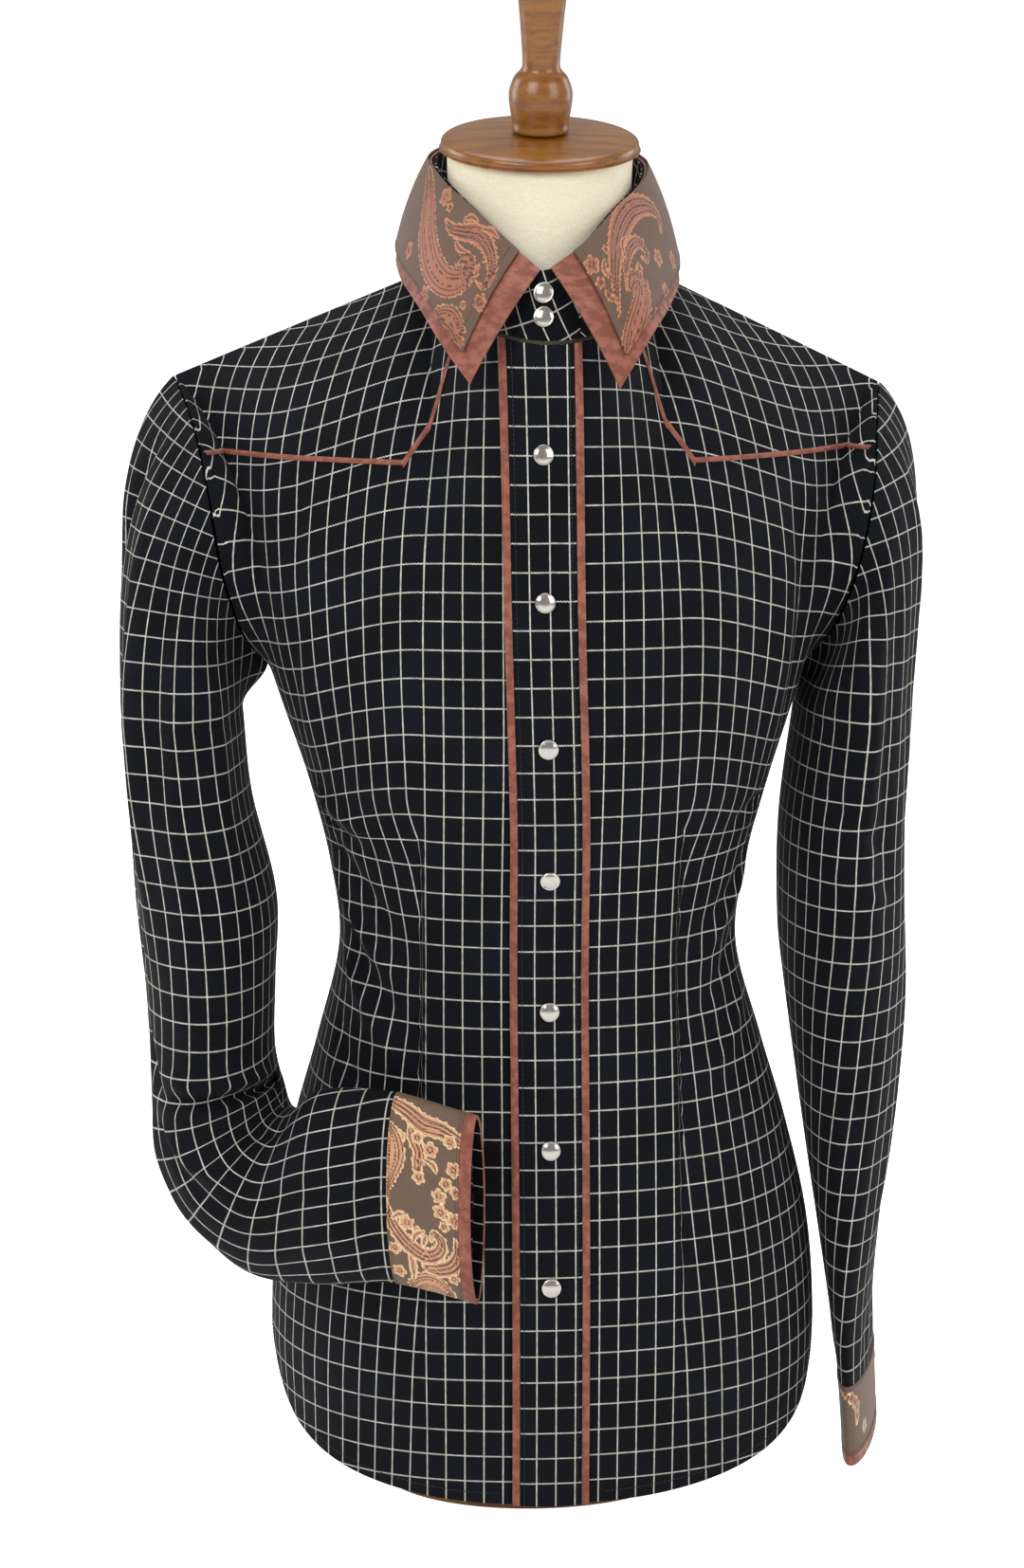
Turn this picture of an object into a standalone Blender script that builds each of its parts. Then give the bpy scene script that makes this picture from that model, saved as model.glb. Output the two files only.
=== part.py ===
"""Western snap shirt worn on a limbless table-top dress form.

Metres, +Z up, the front towards -Y, the wearer's right side towards -X.
Heights in the tables are measured from the hem datum, an empty that stands CLEARANCE above the
underside of the form's foot, so the foot rests on z = 0 and the cloth hangs free of it.
"""
import math
from collections import namedtuple
from functools import lru_cache

import bmesh
import bpy
from mathutils import Matrix, Vector

# --- driving dimensions ---------------------------------------------------------------------
CLEARANCE = 0.015            # hem datum above the floor
CLOTH = 0.0010               # thickness of one wall of cloth
SEAM = 0.0003                # gap between two pieces at a seam
PIPING_SEAM = 0.0007         # gap below the yokes' piping, whose wall is thicker
LAY = 0.0008                 # gap under a piece that lies on another
SQUARENESS = 0.05            # how far the torso's sections fill out past an ellipse

ARMPIT = 0.495               # height where the side seam ends
NECK_SHARE = 0.26            # share of a quarter's width taken by the neckline
SHOULDER_SHARE = 0.66        # share where the shoulder seam meets the armhole
NECK_FRONT = Vector((0.0, -0.097, 0.686))
NECK_BACK = Vector((0.0, 0.062, 0.733))
NECK_SIDE = Vector((0.060, 0.008, 0.7190))
SHOULDER_SLANT = 0.003       # the wearer's right shoulder stands this much above the mean

PLACKET_WIDTH = 0.035
PIPING_WIDTH = 0.0042
YOKE_PIPING_WIDTH = 0.0030
YOKE_LINE = 0.622            # height of the front yokes' level edge
YOKE_CORNER = 0.080          # distance of the yokes' corner from the centre front
YOKE_TOP_SHARE = 0.14        # where the yokes' slanted edge meets the neckline
BACK_YOKE_DIP = 0.022        # the back yoke's edge at the centre, below the front's line

SNAP_RADIUS = 0.0057
SNAP_HEIGHT = 0.0020
SNAP_PITCH = 0.0785
LOWEST_SNAP = 0.156
SNAP_COUNT = 7

FORM_SCALE = 0.955           # the form's torso against the cloth over it
FORM_ARM_SCALE = 0.130       # how much smaller again it is at the sides
FORM_DROP = 0.004            # how far it lies under the cloth on the shoulders
FORM_BOTTOM = 0.095          # height of its lower edge before the drop

CUFF_BINDING = 0.0065        # width of the rust binding at a cuff's end
CAP_TILT = math.radians(12)  # the neck cap leans forward by this much
CAP_RADIUS = 0.0555
CAP_CENTRE = Vector((0.0, -0.003, 0.7885))

# --- tables ---------------------------------------------------------------------------------
# Torso sections of the cloth, half widths to the wearer's right and left, depths from the axis
Ring = namedtuple("Ring", "height right left front back")
TORSO = (
    Ring(0.010, 0.153, 0.160, 0.113, 0.104),
    Ring(0.060, 0.157, 0.164, 0.115, 0.107),
    Ring(0.100, 0.160, 0.166, 0.116, 0.108),
    Ring(0.160, 0.156, 0.161, 0.115, 0.106),
    Ring(0.220, 0.145, 0.147, 0.110, 0.098),
    Ring(0.270, 0.131, 0.132, 0.104, 0.087),
    Ring(0.330, 0.117, 0.116, 0.099, 0.077),
    Ring(0.380, 0.122, 0.121, 0.105, 0.078),
    Ring(0.430, 0.134, 0.133, 0.118, 0.084),
    Ring(0.470, 0.147, 0.145, 0.125, 0.089),
    Ring(0.510, 0.160, 0.157, 0.122, 0.092),
)

# Height of the hem, from the centre (0) to the side seam (1)
Hem = namedtuple("Hem", "share front back")
HEM = (
    Hem(0.00, 0.021, 0.018),
    Hem(0.25, 0.024, 0.021),
    Hem(0.50, 0.034, 0.031),
    Hem(0.70, 0.049, 0.046),
    Hem(0.85, 0.067, 0.065),
    Hem(1.00, 0.090, 0.090),
)

# Armhole, from the shoulder tip (0) to the armpit (1), by the share of the body's columns that
# end on it and by the turn round the sleeve
Armhole = namedtuple("Armhole", "share turn right left front back height")
ARMHOLE = (
    Armhole(0.00, 0.00, 0.206, 0.196, 0.012, 0.012, 0.6565),
    Armhole(0.12, 0.20, 0.196, 0.190, -0.022, 0.042, 0.636),
    Armhole(0.25, 0.45, 0.187, 0.185, -0.046, 0.058, 0.600),
    Armhole(0.41, 0.70, 0.180, 0.177, -0.046, 0.054, 0.555),
    Armhole(0.62, 0.88, 0.169, 0.166, -0.026, 0.031, 0.516),
    Armhole(1.00, 1.00, 0.155, 0.152, 0.000, 0.000, ARMPIT),
)

# Direction of the cloth where a column of it ends: towards the shoulder seam (slope) and the
# arm (outward), as parts of 1
Lean = namedtuple("Lean", "share slope outward")
LEAN = (
    Lean(0.00, 0.25, 0.00),
    Lean(0.13, 0.60, 0.00),
    Lean(NECK_SHARE, 0.92, 0.00),
    Lean(0.40, 0.95, 0.00),
    Lean(0.56, 0.88, 0.20),
    Lean(SHOULDER_SHARE, 0.62, 0.55),
    Lean(0.72, 0.30, 0.62),
    Lean(0.80, 0.05, 0.60),
    Lean(0.90, 0.00, 0.55),
    Lean(1.00, 0.00, 0.50),
)
STEEPEST_LEAN = 0.97

# Middle line of the placket
Middle = namedtuple("Middle", "height x")
PLACKET_LINE = (
    Middle(0.00, 0.000),
    Middle(0.39, -0.001),
    Middle(0.475, -0.0035),
    Middle(0.55, -0.005),
    Middle(0.69, -0.006),
)

# Sleeve sections: distance along the arm, centre, half sizes towards the outside of the arm
# (out) and towards its back (fore), and the section's lean and turn in degrees
Section = namedtuple("Section", "along x y z out fore lean turn")
SLEEVE_RIGHT = (
    Section(0.000, -0.2060, 0.0000, 0.4700, 0.0350, 0.0700, 0, 0),
    Section(0.050, -0.2025, -0.0040, 0.4200, 0.0360, 0.0680, 0, 0),
    Section(0.110, -0.1940, -0.0120, 0.3610, 0.0410, 0.0640, 0, 0),
    Section(0.160, -0.1920, -0.0200, 0.3120, 0.0375, 0.0620, 0, 3),
    Section(0.205, -0.1910, -0.0300, 0.2680, 0.0355, 0.0590, 4, 8),
    Section(0.240, -0.1870, -0.0430, 0.2400, 0.0385, 0.0530, 24, 14),
    Section(0.275, -0.1760, -0.0600, 0.2160, 0.0430, 0.0440, 50, 20),
    Section(0.305, -0.1570, -0.0785, 0.2045, 0.0530, 0.0320, 73, 24),
    Section(0.340, -0.1310, -0.0990, 0.2120, 0.0580, 0.0230, 88, 26),
    Section(0.368, -0.1070, -0.1125, 0.2165, 0.0575, 0.0185, 90, 27),
    Section(0.391, -0.0870, -0.1225, 0.2185, 0.0560, 0.0145, 90, 27),
    Section(0.440, -0.0435, -0.1445, 0.2125, 0.0545, 0.0100, 90, 27),
)
SLEEVE_LEFT = (
    Section(0.000, 0.1815, 0.0000, 0.4650, 0.0315, 0.0700, 0, 0),
    Section(0.065, 0.1780, -0.0020, 0.4000, 0.0360, 0.0660, 0, 0),
    Section(0.128, 0.1785, -0.0040, 0.3370, 0.0365, 0.0630, 0, 0),
    Section(0.165, 0.1805, -0.0050, 0.3000, 0.0345, 0.0610, 0, 2),
    Section(0.215, 0.1830, -0.0060, 0.2500, 0.0300, 0.0600, 0, 5),
    Section(0.268, 0.1850, -0.0070, 0.1970, 0.0240, 0.0580, 0, 8),
    Section(0.315, 0.1870, -0.0080, 0.1500, 0.0180, 0.0565, 0, 11),
    Section(0.360, 0.1895, -0.0090, 0.1050, 0.0125, 0.0550, 0, 13),
    Section(0.398, 0.1930, -0.0100, 0.0670, 0.0095, 0.0535, 0, 15),
    Section(0.448, 0.1965, -0.0100, 0.0170, 0.0085, 0.0530, 0, 15),
)
CUFF_SEAM = {-1: 0.391, 1: 0.398}
CUFF_END = {-1: 0.440, 1: 0.448}

# Collar, by the angle round the neck from the centre front over the wearer's right: the fold on
# top of the stand and the leaf's outer edge
Collar = namedtuple("Collar", "angle fold_x fold_y fold_z edge_x edge_y edge_z")
COLLAR = (
    Collar(6, -0.006, -0.0920, 0.7255, -0.0450, -0.1120, 0.6665),
    Collar(22, -0.018, -0.0800, 0.7355, -0.0580, -0.0970, 0.6840),
    Collar(46, -0.040, -0.0480, 0.7560, -0.0710, -0.0620, 0.7045),
    Collar(70, -0.055, -0.0130, 0.7700, -0.0795, -0.0180, 0.7175),
    Collar(95, -0.060, 0.0220, 0.7810, -0.0780, 0.0360, 0.7270),
    Collar(140, -0.037, 0.0550, 0.7880, -0.0490, 0.0700, 0.7310),
    Collar(180, 0.000, 0.0650, 0.7900, 0.0000, 0.0800, 0.7320),
    Collar(220, 0.037, 0.0550, 0.7880, 0.0490, 0.0700, 0.7310),
    Collar(265, 0.060, 0.0220, 0.7790, 0.0770, 0.0360, 0.7255),
    Collar(290, 0.0565, -0.0130, 0.7690, 0.0775, -0.0180, 0.7150),
    Collar(314, 0.037, -0.0480, 0.7540, 0.0680, -0.0600, 0.7035),
    Collar(338, 0.019, -0.0770, 0.7385, 0.0540, -0.0940, 0.6890),
    Collar(360, 0.000, -0.0920, 0.7265, 0.0360, -0.1120, 0.6635),
)
STAND_OVERLAP = 15.5         # degrees past the centre front where the stand's upper end lies
LEAF_BULGE = 0.003
LEAF_BORDER = 0.89           # share of the leaf's depth that the paisley layer covers
FRONT_BORDER = (14, 7)       # degrees of border before the paisley, at the fold and at the edge

# Turned wooden pieces: radius and height over the cap's centre
Turned = namedtuple("Turned", "radius height")
CAP_PROFILE = (
    Turned(0.0, -0.0025), Turned(0.0525, -0.0025), Turned(0.0550, -0.0012), Turned(0.0555, 0.0010),
    Turned(0.0545, 0.0030), Turned(0.0500, 0.0045), Turned(0.0300, 0.0062), Turned(0.0, 0.0070),
)
FINIAL_PROFILE = (
    Turned(0.0, 0.0075), Turned(0.0150, 0.0075), Turned(0.0158, 0.0130), Turned(0.0174, 0.0220),
    Turned(0.0176, 0.0300), Turned(0.0150, 0.0375), Turned(0.0112, 0.0420), Turned(0.0104, 0.0460),
    Turned(0.0115, 0.0620), Turned(0.0132, 0.0800), Turned(0.0150, 0.0900), Turned(0.0140, 0.0990),
    Turned(0.0085, 0.1050), Turned(0.0, 0.1070),
)
Oval = namedtuple("Oval", "height half_width half_depth")
FOOT_RINGS = (               # heights over the floor
    Oval(0.000, 0.095, 0.062), Oval(0.012, 0.095, 0.062), Oval(0.018, 0.089, 0.056),
    Oval(0.022, 0.052, 0.042), Oval(0.1057, 0.048, 0.040),
)
FOOT_BACK = 0.020            # the foot stands this far behind the axis

# --- materials: colour, roughness, metallic --------------------------------------------------
LOOKS = {
    "check_twill": ((0.012, 0.016, 0.022), 0.75, 0.0),
    "rust_brocade": ((0.36, 0.12, 0.07), 0.60, 0.0),
    "paisley_brocade": ((0.24, 0.12, 0.07), 0.55, 0.0),
    "snap_metal": ((0.62, 0.60, 0.57), 0.22, 1.0),
    "linen": ((0.80, 0.74, 0.60), 0.90, 0.0),
    "turned_wood": ((0.26, 0.10, 0.03), 0.35, 0.0),
}


# --- small helpers ----------------------------------------------------------------------------
def hermite(start, end, start_slope, end_slope, t):
    """Cubic from start to end with the given slopes, at t from 0 to 1."""
    t2, t3 = t * t, t * t * t
    return (start * (2 * t3 - 3 * t2 + 1) + start_slope * (t3 - 2 * t2 + t)
            + end * (3 * t2 - 2 * t3) + end_slope * (t3 - t2))


def slope_at(table, row, column):
    """Slope of one column of a table at a row, from the rows beside it."""
    low, high = max(row - 1, 0), min(row + 1, len(table) - 1)
    return (table[high][column] - table[low][column]) / (table[high][0] - table[low][0])


def between(table, at):
    """Row of a table at a value of its first column, on smooth curves through its rows."""
    at = min(max(at, table[0][0]), table[-1][0])
    low = max(row for row in range(len(table) - 1) if table[row][0] <= at)
    span = table[low + 1][0] - table[low][0]
    values = [hermite(table[low][column], table[low + 1][column],
                      slope_at(table, low, column) * span,
                      slope_at(table, low + 1, column) * span,
                      (at - table[low][0]) / span)
              for column in range(len(table[0]))]
    return type(table[0])(*values)


def steps(start, end, count):
    """Count + 1 values from start to end."""
    return [start + (end - start) * step / count for step in range(count + 1)]


def search(reached, low, high):
    """Value between low and high where reached(value) turns true."""
    for _ in range(32):
        middle = (low + high) / 2
        if reached(middle):
            high = middle
        else:
            low = middle
    return high


# --- the shirt's body: a surface over side, face, share and along -------------------------------
def ring_point(side, face, share, height):
    """Point of a torso section, from the centre (share 0) to the side seam (share 1)."""
    ring = between(TORSO, height)
    width = ring.right if side < 0 else ring.left
    depth = ring.front if face < 0 else ring.back
    angle = share * math.pi / 2
    fullness = 1 + SQUARENESS * math.sin(2 * angle) ** 2
    return Vector((side * width * math.sin(angle) * fullness,
                   face * depth * math.cos(angle) * fullness, height))


def neck_point(angle, lift=0.0):
    """Point of the neckline at an angle from the centre front over the wearer's right."""
    middle = NECK_FRONT if math.cos(angle) > 0 else NECK_BACK
    rise = abs(math.cos(angle))
    return Vector((-NECK_SIDE.x * math.sin(angle),
                   NECK_SIDE.y + (middle.y - NECK_SIDE.y) * rise,
                   NECK_SIDE.z + (middle.z - NECK_SIDE.z) * rise + lift))


def armhole_point(side, face, value, by=0):
    """Point of an armhole at a value of its table's share (by 0) or turn (by 1).

    Straight between the table's rows, so that body and sleeve meet along the same edges.
    """
    high = next(k for k in range(1, len(ARMHOLE)) if ARMHOLE[k][by] >= value - 1e-6)
    low, top = ARMHOLE[high - 1], ARMHOLE[high]
    t = (value - low[by]) / (top[by] - low[by])
    row = Armhole(*(a + (b - a) * t for a, b in zip(low, top)))
    return Vector((side * (row.right if side < 0 else row.left),
                   row.front if face < 0 else row.back,
                   row.height - side * SHOULDER_SLANT * (1 - row.turn)))


def top_point(side, face, share):
    """Upper edge of the body: neckline, shoulder seam and armhole."""
    if share <= NECK_SHARE:
        quarter = share / NECK_SHARE * math.pi / 2
        turn = quarter if face < 0 else math.pi - quarter
        return neck_point(-side * turn)
    if share <= SHOULDER_SHARE:
        start = Vector((side * NECK_SIDE.x, NECK_SIDE.y, NECK_SIDE.z))
        t = (share - NECK_SHARE) / (SHOULDER_SHARE - NECK_SHARE)
        return start.lerp(armhole_point(side, face, 0), t)
    return armhole_point(side, face, (share - SHOULDER_SHARE) / (1 - SHOULDER_SHARE))


@lru_cache(maxsize=None)
def column(side, face, share):
    """Points of one upright line of cloth from the hem to the upper edge, with its lengths."""
    hem = between(HEM, share)
    low = hem.front if face < 0 else hem.back
    points = [ring_point(side, face, share, height) for height in steps(low, ARMPIT, 24)]
    bottom, top = points[-1], top_point(side, face, share)
    reach = (top - bottom).length
    climb = (bottom - ring_point(side, face, share, ARMPIT - 0.01)) / 0.01
    lean = between(LEAN, share)
    level = Vector((side * lean.outward, -face * lean.slope, 0))
    level = level * min(1, STEEPEST_LEAN / max(level.length, 1e-6))
    arrive = level + Vector((0, 0, math.sqrt(1 - level.length_squared)))
    if reach > 1e-5:
        points += [hermite(bottom, top, climb * reach, arrive * reach, t)
                   for t in steps(0, 1, 20)[1:]]
    lengths = [0.0]
    for before, after in zip(points, points[1:]):
        lengths.append(lengths[-1] + (after - before).length)
    return points, lengths


def body(side, face, share, along):
    """Point of the shirt's outer surface at a share of a column's length."""
    points, lengths = column(side, face, round(share, 6))
    target = min(max(along, 0.0), 1.0) * lengths[-1]
    high = next((k for k in range(1, len(lengths)) if lengths[k] >= target), len(lengths) - 1)
    span = lengths[high] - lengths[high - 1]
    return points[high - 1].lerp(points[high], (target - lengths[high - 1]) / span)


def lifted(side, face, share, along, lift):
    """Point of the body's surface, moved out of the cloth by lift."""
    step = 0.004
    low, high = max(share - step, 0.0), min(share + step, 1.0)
    below, above = max(along - step, 0.0), min(along + step, 1.0)
    across = body(side, face, high, along) - body(side, face, low, along)
    upward = body(side, face, share, above) - body(side, face, share, below)
    normal = (across.cross(upward) * -side * face).normalized()
    return body(side, face, share, along) + normal * lift


def along_at(side, face, share, height):
    """Share of a column's length where it reaches a height."""
    return search(lambda along: body(side, face, share, along).z >= height, 0.0, 1.0)


def on_placket(x, along, lift):
    """Point over the placket's flat facets, which run between the rows of PLACKET_ALONGS."""
    high = next(k for k in range(1, len(PLACKET_ALONGS)) if PLACKET_ALONGS[k] >= along)
    low, top = PLACKET_ALONGS[high - 1], PLACKET_ALONGS[high]
    lift += LAY + CLOTH
    return on_front(x, low, lift).lerp(on_front(x, top, lift), (along - low) / (top - low))


def on_front(x, along, lift):
    """Point of the front at a distance from the centre and a share of the column's length."""
    side = -1 if x < 0 else 1
    share = search(lambda value: abs(body(side, -1, value, along).x) >= abs(x), 0.0, 0.5)
    return lifted(side, -1, share, along, lift)


def front_along(height):
    """Share of the centre front's length at a height."""
    return along_at(1, -1, 0.0, height)


# --- mesh helpers -------------------------------------------------------------------------------
def finish(name, bm, look, datum):
    """Object of one piece with its material, hung on the hem datum."""
    bmesh.ops.recalc_face_normals(bm, faces=bm.faces)
    mesh = bpy.data.meshes.new(name)
    bm.to_mesh(mesh)
    bm.free()
    mesh.shade_smooth()
    mesh.set_sharp_from_angle(angle=math.radians(50))
    mesh.materials.append(look)
    piece = bpy.data.objects.new(name, mesh)
    bpy.context.collection.objects.link(piece)
    piece.parent = datum
    return piece


def grid_normals(rows, closed):
    """Unit normals of a grid of points, from the points beside each one."""
    count = len(rows[0])
    normals = []
    for r, row in enumerate(rows):
        below, above = rows[max(r - 1, 0)], rows[min(r + 1, len(rows) - 1)]
        line = []
        for c in range(count):
            if closed:
                across = row[(c + 1) % count] - row[c - 1]
            else:
                across = row[min(c + 1, count - 1)] - row[max(c - 1, 0)]
            line.append(across.cross(above[c] - below[c]).normalized())
        normals.append(line)
    return normals


def wall(name, rows, look, datum, closed=False, thickness=CLOTH):
    """Wall of cloth: rows of points on its outer face, joined to the same points moved in."""
    normals = grid_normals(rows, closed)
    outward = 0.0
    for row, line in zip(rows, normals):
        middle = sum(row, Vector()) / len(row) if closed else Vector((0, 0, ARMPIT - 0.05))
        outward += sum(normal.dot(point - middle) for point, normal in zip(row, line))
    depth = thickness if outward > 0 else -thickness
    bm = bmesh.new()
    outer = [[bm.verts.new(point) for point in row] for row in rows]
    inner = [[bm.verts.new(point - normal * depth) for point, normal in zip(row, line)]
             for row, line in zip(rows, normals)]
    count = len(rows[0])
    last = count if closed else count - 1
    for face in (outer, inner):
        for r in range(len(rows) - 1):
            for c in range(last):
                n = (c + 1) % count
                bm.faces.new((face[r][c], face[r][n], face[r + 1][n], face[r + 1][c]))
    for r in (0, len(rows) - 1):
        for c in range(last):
            n = (c + 1) % count
            bm.faces.new((outer[r][c], outer[r][n], inner[r][n], inner[r][c]))
    if not closed:
        for c in (0, count - 1):
            for r in range(len(rows) - 1):
                bm.faces.new((outer[r][c], outer[r + 1][c], inner[r + 1][c], inner[r][c]))
    return finish(name, bm, look, datum)


def turned(name, profile, sides, placing, look, datum):
    """Solid turned round its own axis from a profile that starts and ends on the axis."""
    bm = bmesh.new()
    rings = []
    for radius, height in profile[1:-1]:
        rings.append([bm.verts.new(placing @ Vector((radius * math.cos(angle),
                                                     radius * math.sin(angle), height)))
                      for angle in steps(0, 2 * math.pi, sides)[:-1]])
    for low, high in zip(rings, rings[1:]):
        for c in range(sides):
            n = (c + 1) % sides
            bm.faces.new((low[c], low[n], high[n], high[c]))
    for end, ring in ((profile[0], rings[0]), (profile[-1], rings[-1])):
        tip = bm.verts.new(placing @ Vector((0, 0, end.height)))
        for c in range(sides):
            bm.faces.new((ring[c], ring[(c + 1) % sides], tip))
    return finish(name, bm, look, datum)


# --- pieces of the shirt ------------------------------------------------------------------------
BEYOND = 0.010               # step in share past the ends of a yoke's edge
TOP_GAP = 0.0005             # how far a panel ends before the shoulder seam at the neck
TIP_GAP = 0.0013             # and at the shoulder tip and the armhole
YOKE_LEAST = 0.0025          # height of a yoke where its edge runs out
ARMHOLE_SHARES = [SHOULDER_SHARE + (1 - SHOULDER_SHARE) * row.share for row in ARMHOLE]
PANEL_SHARES = [0.0015, 0.09, 0.18, NECK_SHARE, 0.36, 0.46, 0.56] + ARMHOLE_SHARES[:-1] + [0.9985]
PLACKET_ALONGS = steps(0.0005, 0.62, 6) + steps(0.62, 0.9970, 8)[1:]


def yoke_end(side, face):
    """Share of the column that meets the armhole at the height of the yoke's edge."""
    return search(lambda share: top_point(side, face, share).z <= YOKE_LINE + 0.003,
                  SHOULDER_SHARE, 1.0)


def yoke_corner(side):
    """Share of the column through the corner of a front yoke's edge."""
    return search(lambda share: abs(body(side, -1, share, along_at(side, -1, share, YOKE_LINE)).x)
                  >= YOKE_CORNER, 0.1, 0.7)


def beside_yoke(side, face, share):
    """Whether a column lies outside the yoke."""
    return share > yoke_end(side, face) + 1e-6 or (face < 0 and share < YOKE_TOP_SHARE - 1e-6)


def yoke_edge(side, face, share):
    """Share of a column's length where the yoke's lower edge crosses it."""
    length = column(side, face, round(share, 6))[1][-1]
    return min(yoke_crossing(side, face, share), 1 - YOKE_LEAST / length)


def yoke_crossing(side, face, share):
    """Share of a column's length at the height of the yoke's drawn edge."""
    if face > 0:
        height = YOKE_LINE - BACK_YOKE_DIP * math.cos(share * math.pi / 2)
        return along_at(side, face, share, height)
    corner = yoke_corner(side)
    if share >= corner:
        return along_at(side, face, share, YOKE_LINE)
    start = top_point(side, face, YOKE_TOP_SHARE).z
    t = (corner - share) / (corner - YOKE_TOP_SHARE)
    return along_at(side, face, share, YOKE_LINE + (start - YOKE_LINE) * t)


def marks(side, face):
    """Columns where the yoke's edge starts, turns and ends, and those just beyond it."""
    end = yoke_end(side, face)
    corner = [YOKE_TOP_SHARE - BEYOND, YOKE_TOP_SHARE, yoke_corner(side)] if face < 0 else []
    return corner + [end, end + BEYOND]


def column_shares(side, face, start, end):
    """Shares of the columns of a piece, with the marks of the yoke's edge among them."""
    kept = [mark for mark in marks(side, face) if start <= mark <= end]
    plain = [share for share in PANEL_SHARES if start + 0.01 < share < end - 0.01]
    plain = [share for share in plain if all(abs(share - mark) > 0.010 for mark in kept)]
    return sorted({start, end}.union(kept, plain))


def strip(side, face, share, low, high, count):
    """Points up one column between two distances from the yoke's edge or the column's ends."""
    return [body(side, face, share, along) for along in steps(low, high, count)]


def top_gap(share):
    """How far the cloth ends before the upper edge of its column."""
    towards = min(max((share - 0.5) / (SHOULDER_SHARE - 0.5), 0), 1)
    return TOP_GAP + (TIP_GAP - TOP_GAP) * towards


def slant(side, face, share):
    """Length up a column for each unit across the yoke's edge there."""
    step = 0.008
    start = YOKE_TOP_SHARE if face < 0 else 0.0
    low, high = max(share - step, start), min(share + step, yoke_end(side, face))
    edge = (body(side, face, high, yoke_edge(side, face, high))
            - body(side, face, low, yoke_edge(side, face, low)))
    along = yoke_edge(side, face, share)
    upward = body(side, face, share, along) - body(side, face, share, along - step)
    return 1 / max(math.sin(edge.angle(upward)), 0.3)


def panel_column(side, face, share):
    """Points of a panel's column, from the hem up to the yoke's piping or the upper edge."""
    length = column(side, face, round(share, 6))[1][-1]
    top = 1 - top_gap(share) / length
    if not beside_yoke(side, face, share):
        below = (PIPING_SEAM + YOKE_PIPING_WIDTH) * slant(side, face, share)
        top = yoke_edge(side, face, share) - below / length
    waist = top * 0.62
    return strip(side, face, share, 0, waist, 6) + strip(side, face, share, waist, top, 8)[1:]


def yoke_column(side, face, share):
    """Points of a yoke's column, from just above its piping to the upper edge."""
    length = column(side, face, round(share, 6))[1][-1]
    return strip(side, face, share, yoke_edge(side, face, share), 1 - top_gap(share) / length, 6)


def piping_column(side, face, share):
    """Points of a yoke piping's column, in the gap between panel and yoke."""
    length = column(side, face, round(share, 6))[1][-1]
    unit = slant(side, face, share) / length
    top = yoke_edge(side, face, share)
    return [lifted(side, face, share, along, 0.0004)
            for along in (top - YOKE_PIPING_WIDTH * unit, top - SEAM * unit)]


def sheet(name, columns, look, datum, thickness=CLOTH):
    """Wall of cloth from columns of points, side by side."""
    rows = [list(row) for row in zip(*columns)]
    wall(name, rows, look, datum, thickness=thickness)


def panels(looks, datum):
    """Fronts, back and yokes, with piping in the yokes' seams."""
    twill, rust = looks["check_twill"], looks["rust_brocade"]
    for name, side in (("right", -1), ("left", 1)):
        shares = column_shares(side, -1, PANEL_SHARES[0], PANEL_SHARES[-1])
        sheet("front_" + name, [panel_column(side, -1, share) for share in shares], twill, datum)
        shares = column_shares(side, -1, YOKE_TOP_SHARE, yoke_end(side, -1))
        sheet("yoke_front_" + name, [yoke_column(side, -1, share) for share in shares],
              twill, datum)
        sheet("yoke_piping_" + name, [piping_column(side, -1, share) for share in shares],
              rust, datum, 0.0014)
    for name, make, look, thickness in (("back", panel_column, twill, CLOTH),
                                        ("yoke_back", yoke_column, twill, CLOTH),
                                        ("yoke_piping_back", piping_column, rust, 0.0014)):
        columns = []
        for side in (-1, 1):
            end = PANEL_SHARES[-1] if name == "back" else yoke_end(side, 1)
            shares = column_shares(side, 1, 0.0, end)
            half = [make(side, 1, share) for share in shares]
            columns += half[:0:-1] if side < 0 else half
        sheet(name, columns, look, datum, thickness)


def placket(looks, datum):
    """Placket band over the closed fronts, with piping along both edges."""
    half = PLACKET_WIDTH / 2
    strips = (
        ("placket", "check_twill", steps(-half, half, 4)),
        ("placket_piping_right", "rust_brocade", steps(-half - SEAM - PIPING_WIDTH, -half - SEAM, 1)),
        ("placket_piping_left", "rust_brocade", steps(half + SEAM, half + SEAM + PIPING_WIDTH, 1)),
    )
    for name, look, offsets in strips:
        rows = []
        for along in PLACKET_ALONGS:
            height = body(1, -1, 0.0, along).z
            middle = between(PLACKET_LINE, height).x
            rows.append([on_front(middle + offset, along, LAY + CLOTH) for offset in offsets])
        wall(name, rows, looks[look], datum)


def snap_on(name, seat, outward, looks, datum):
    """Round cap of a snap on its seat, with its axis along outward."""
    placing = Matrix.Translation(seat) @ outward.to_track_quat("Z", "Y").to_matrix().to_4x4()
    profile = (Turned(0.0, 0.0), Turned(SNAP_RADIUS * 0.94, 0.0),
               Turned(SNAP_RADIUS, SNAP_HEIGHT * 0.45), Turned(SNAP_RADIUS * 0.88, SNAP_HEIGHT * 0.85),
               Turned(0.0, SNAP_HEIGHT))
    turned(name, profile, 18, placing, looks["snap_metal"], datum)


def placket_snaps(looks, datum):
    """Snaps down the placket, one pitch apart."""
    for number in range(SNAP_COUNT):
        height = LOWEST_SNAP + SNAP_PITCH * number
        along = front_along(height)
        x = between(PLACKET_LINE, height).x
        upward = on_placket(x, along + 0.001, 0) - on_placket(x, along - 0.001, 0)
        outward = upward.cross(Vector((-1, 0, 0))).normalized()
        seat = on_placket(x, along, 0) + outward * LAY
        snap_on("snap_%d" % (SNAP_COUNT - number), seat, outward, looks, datum)


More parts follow.
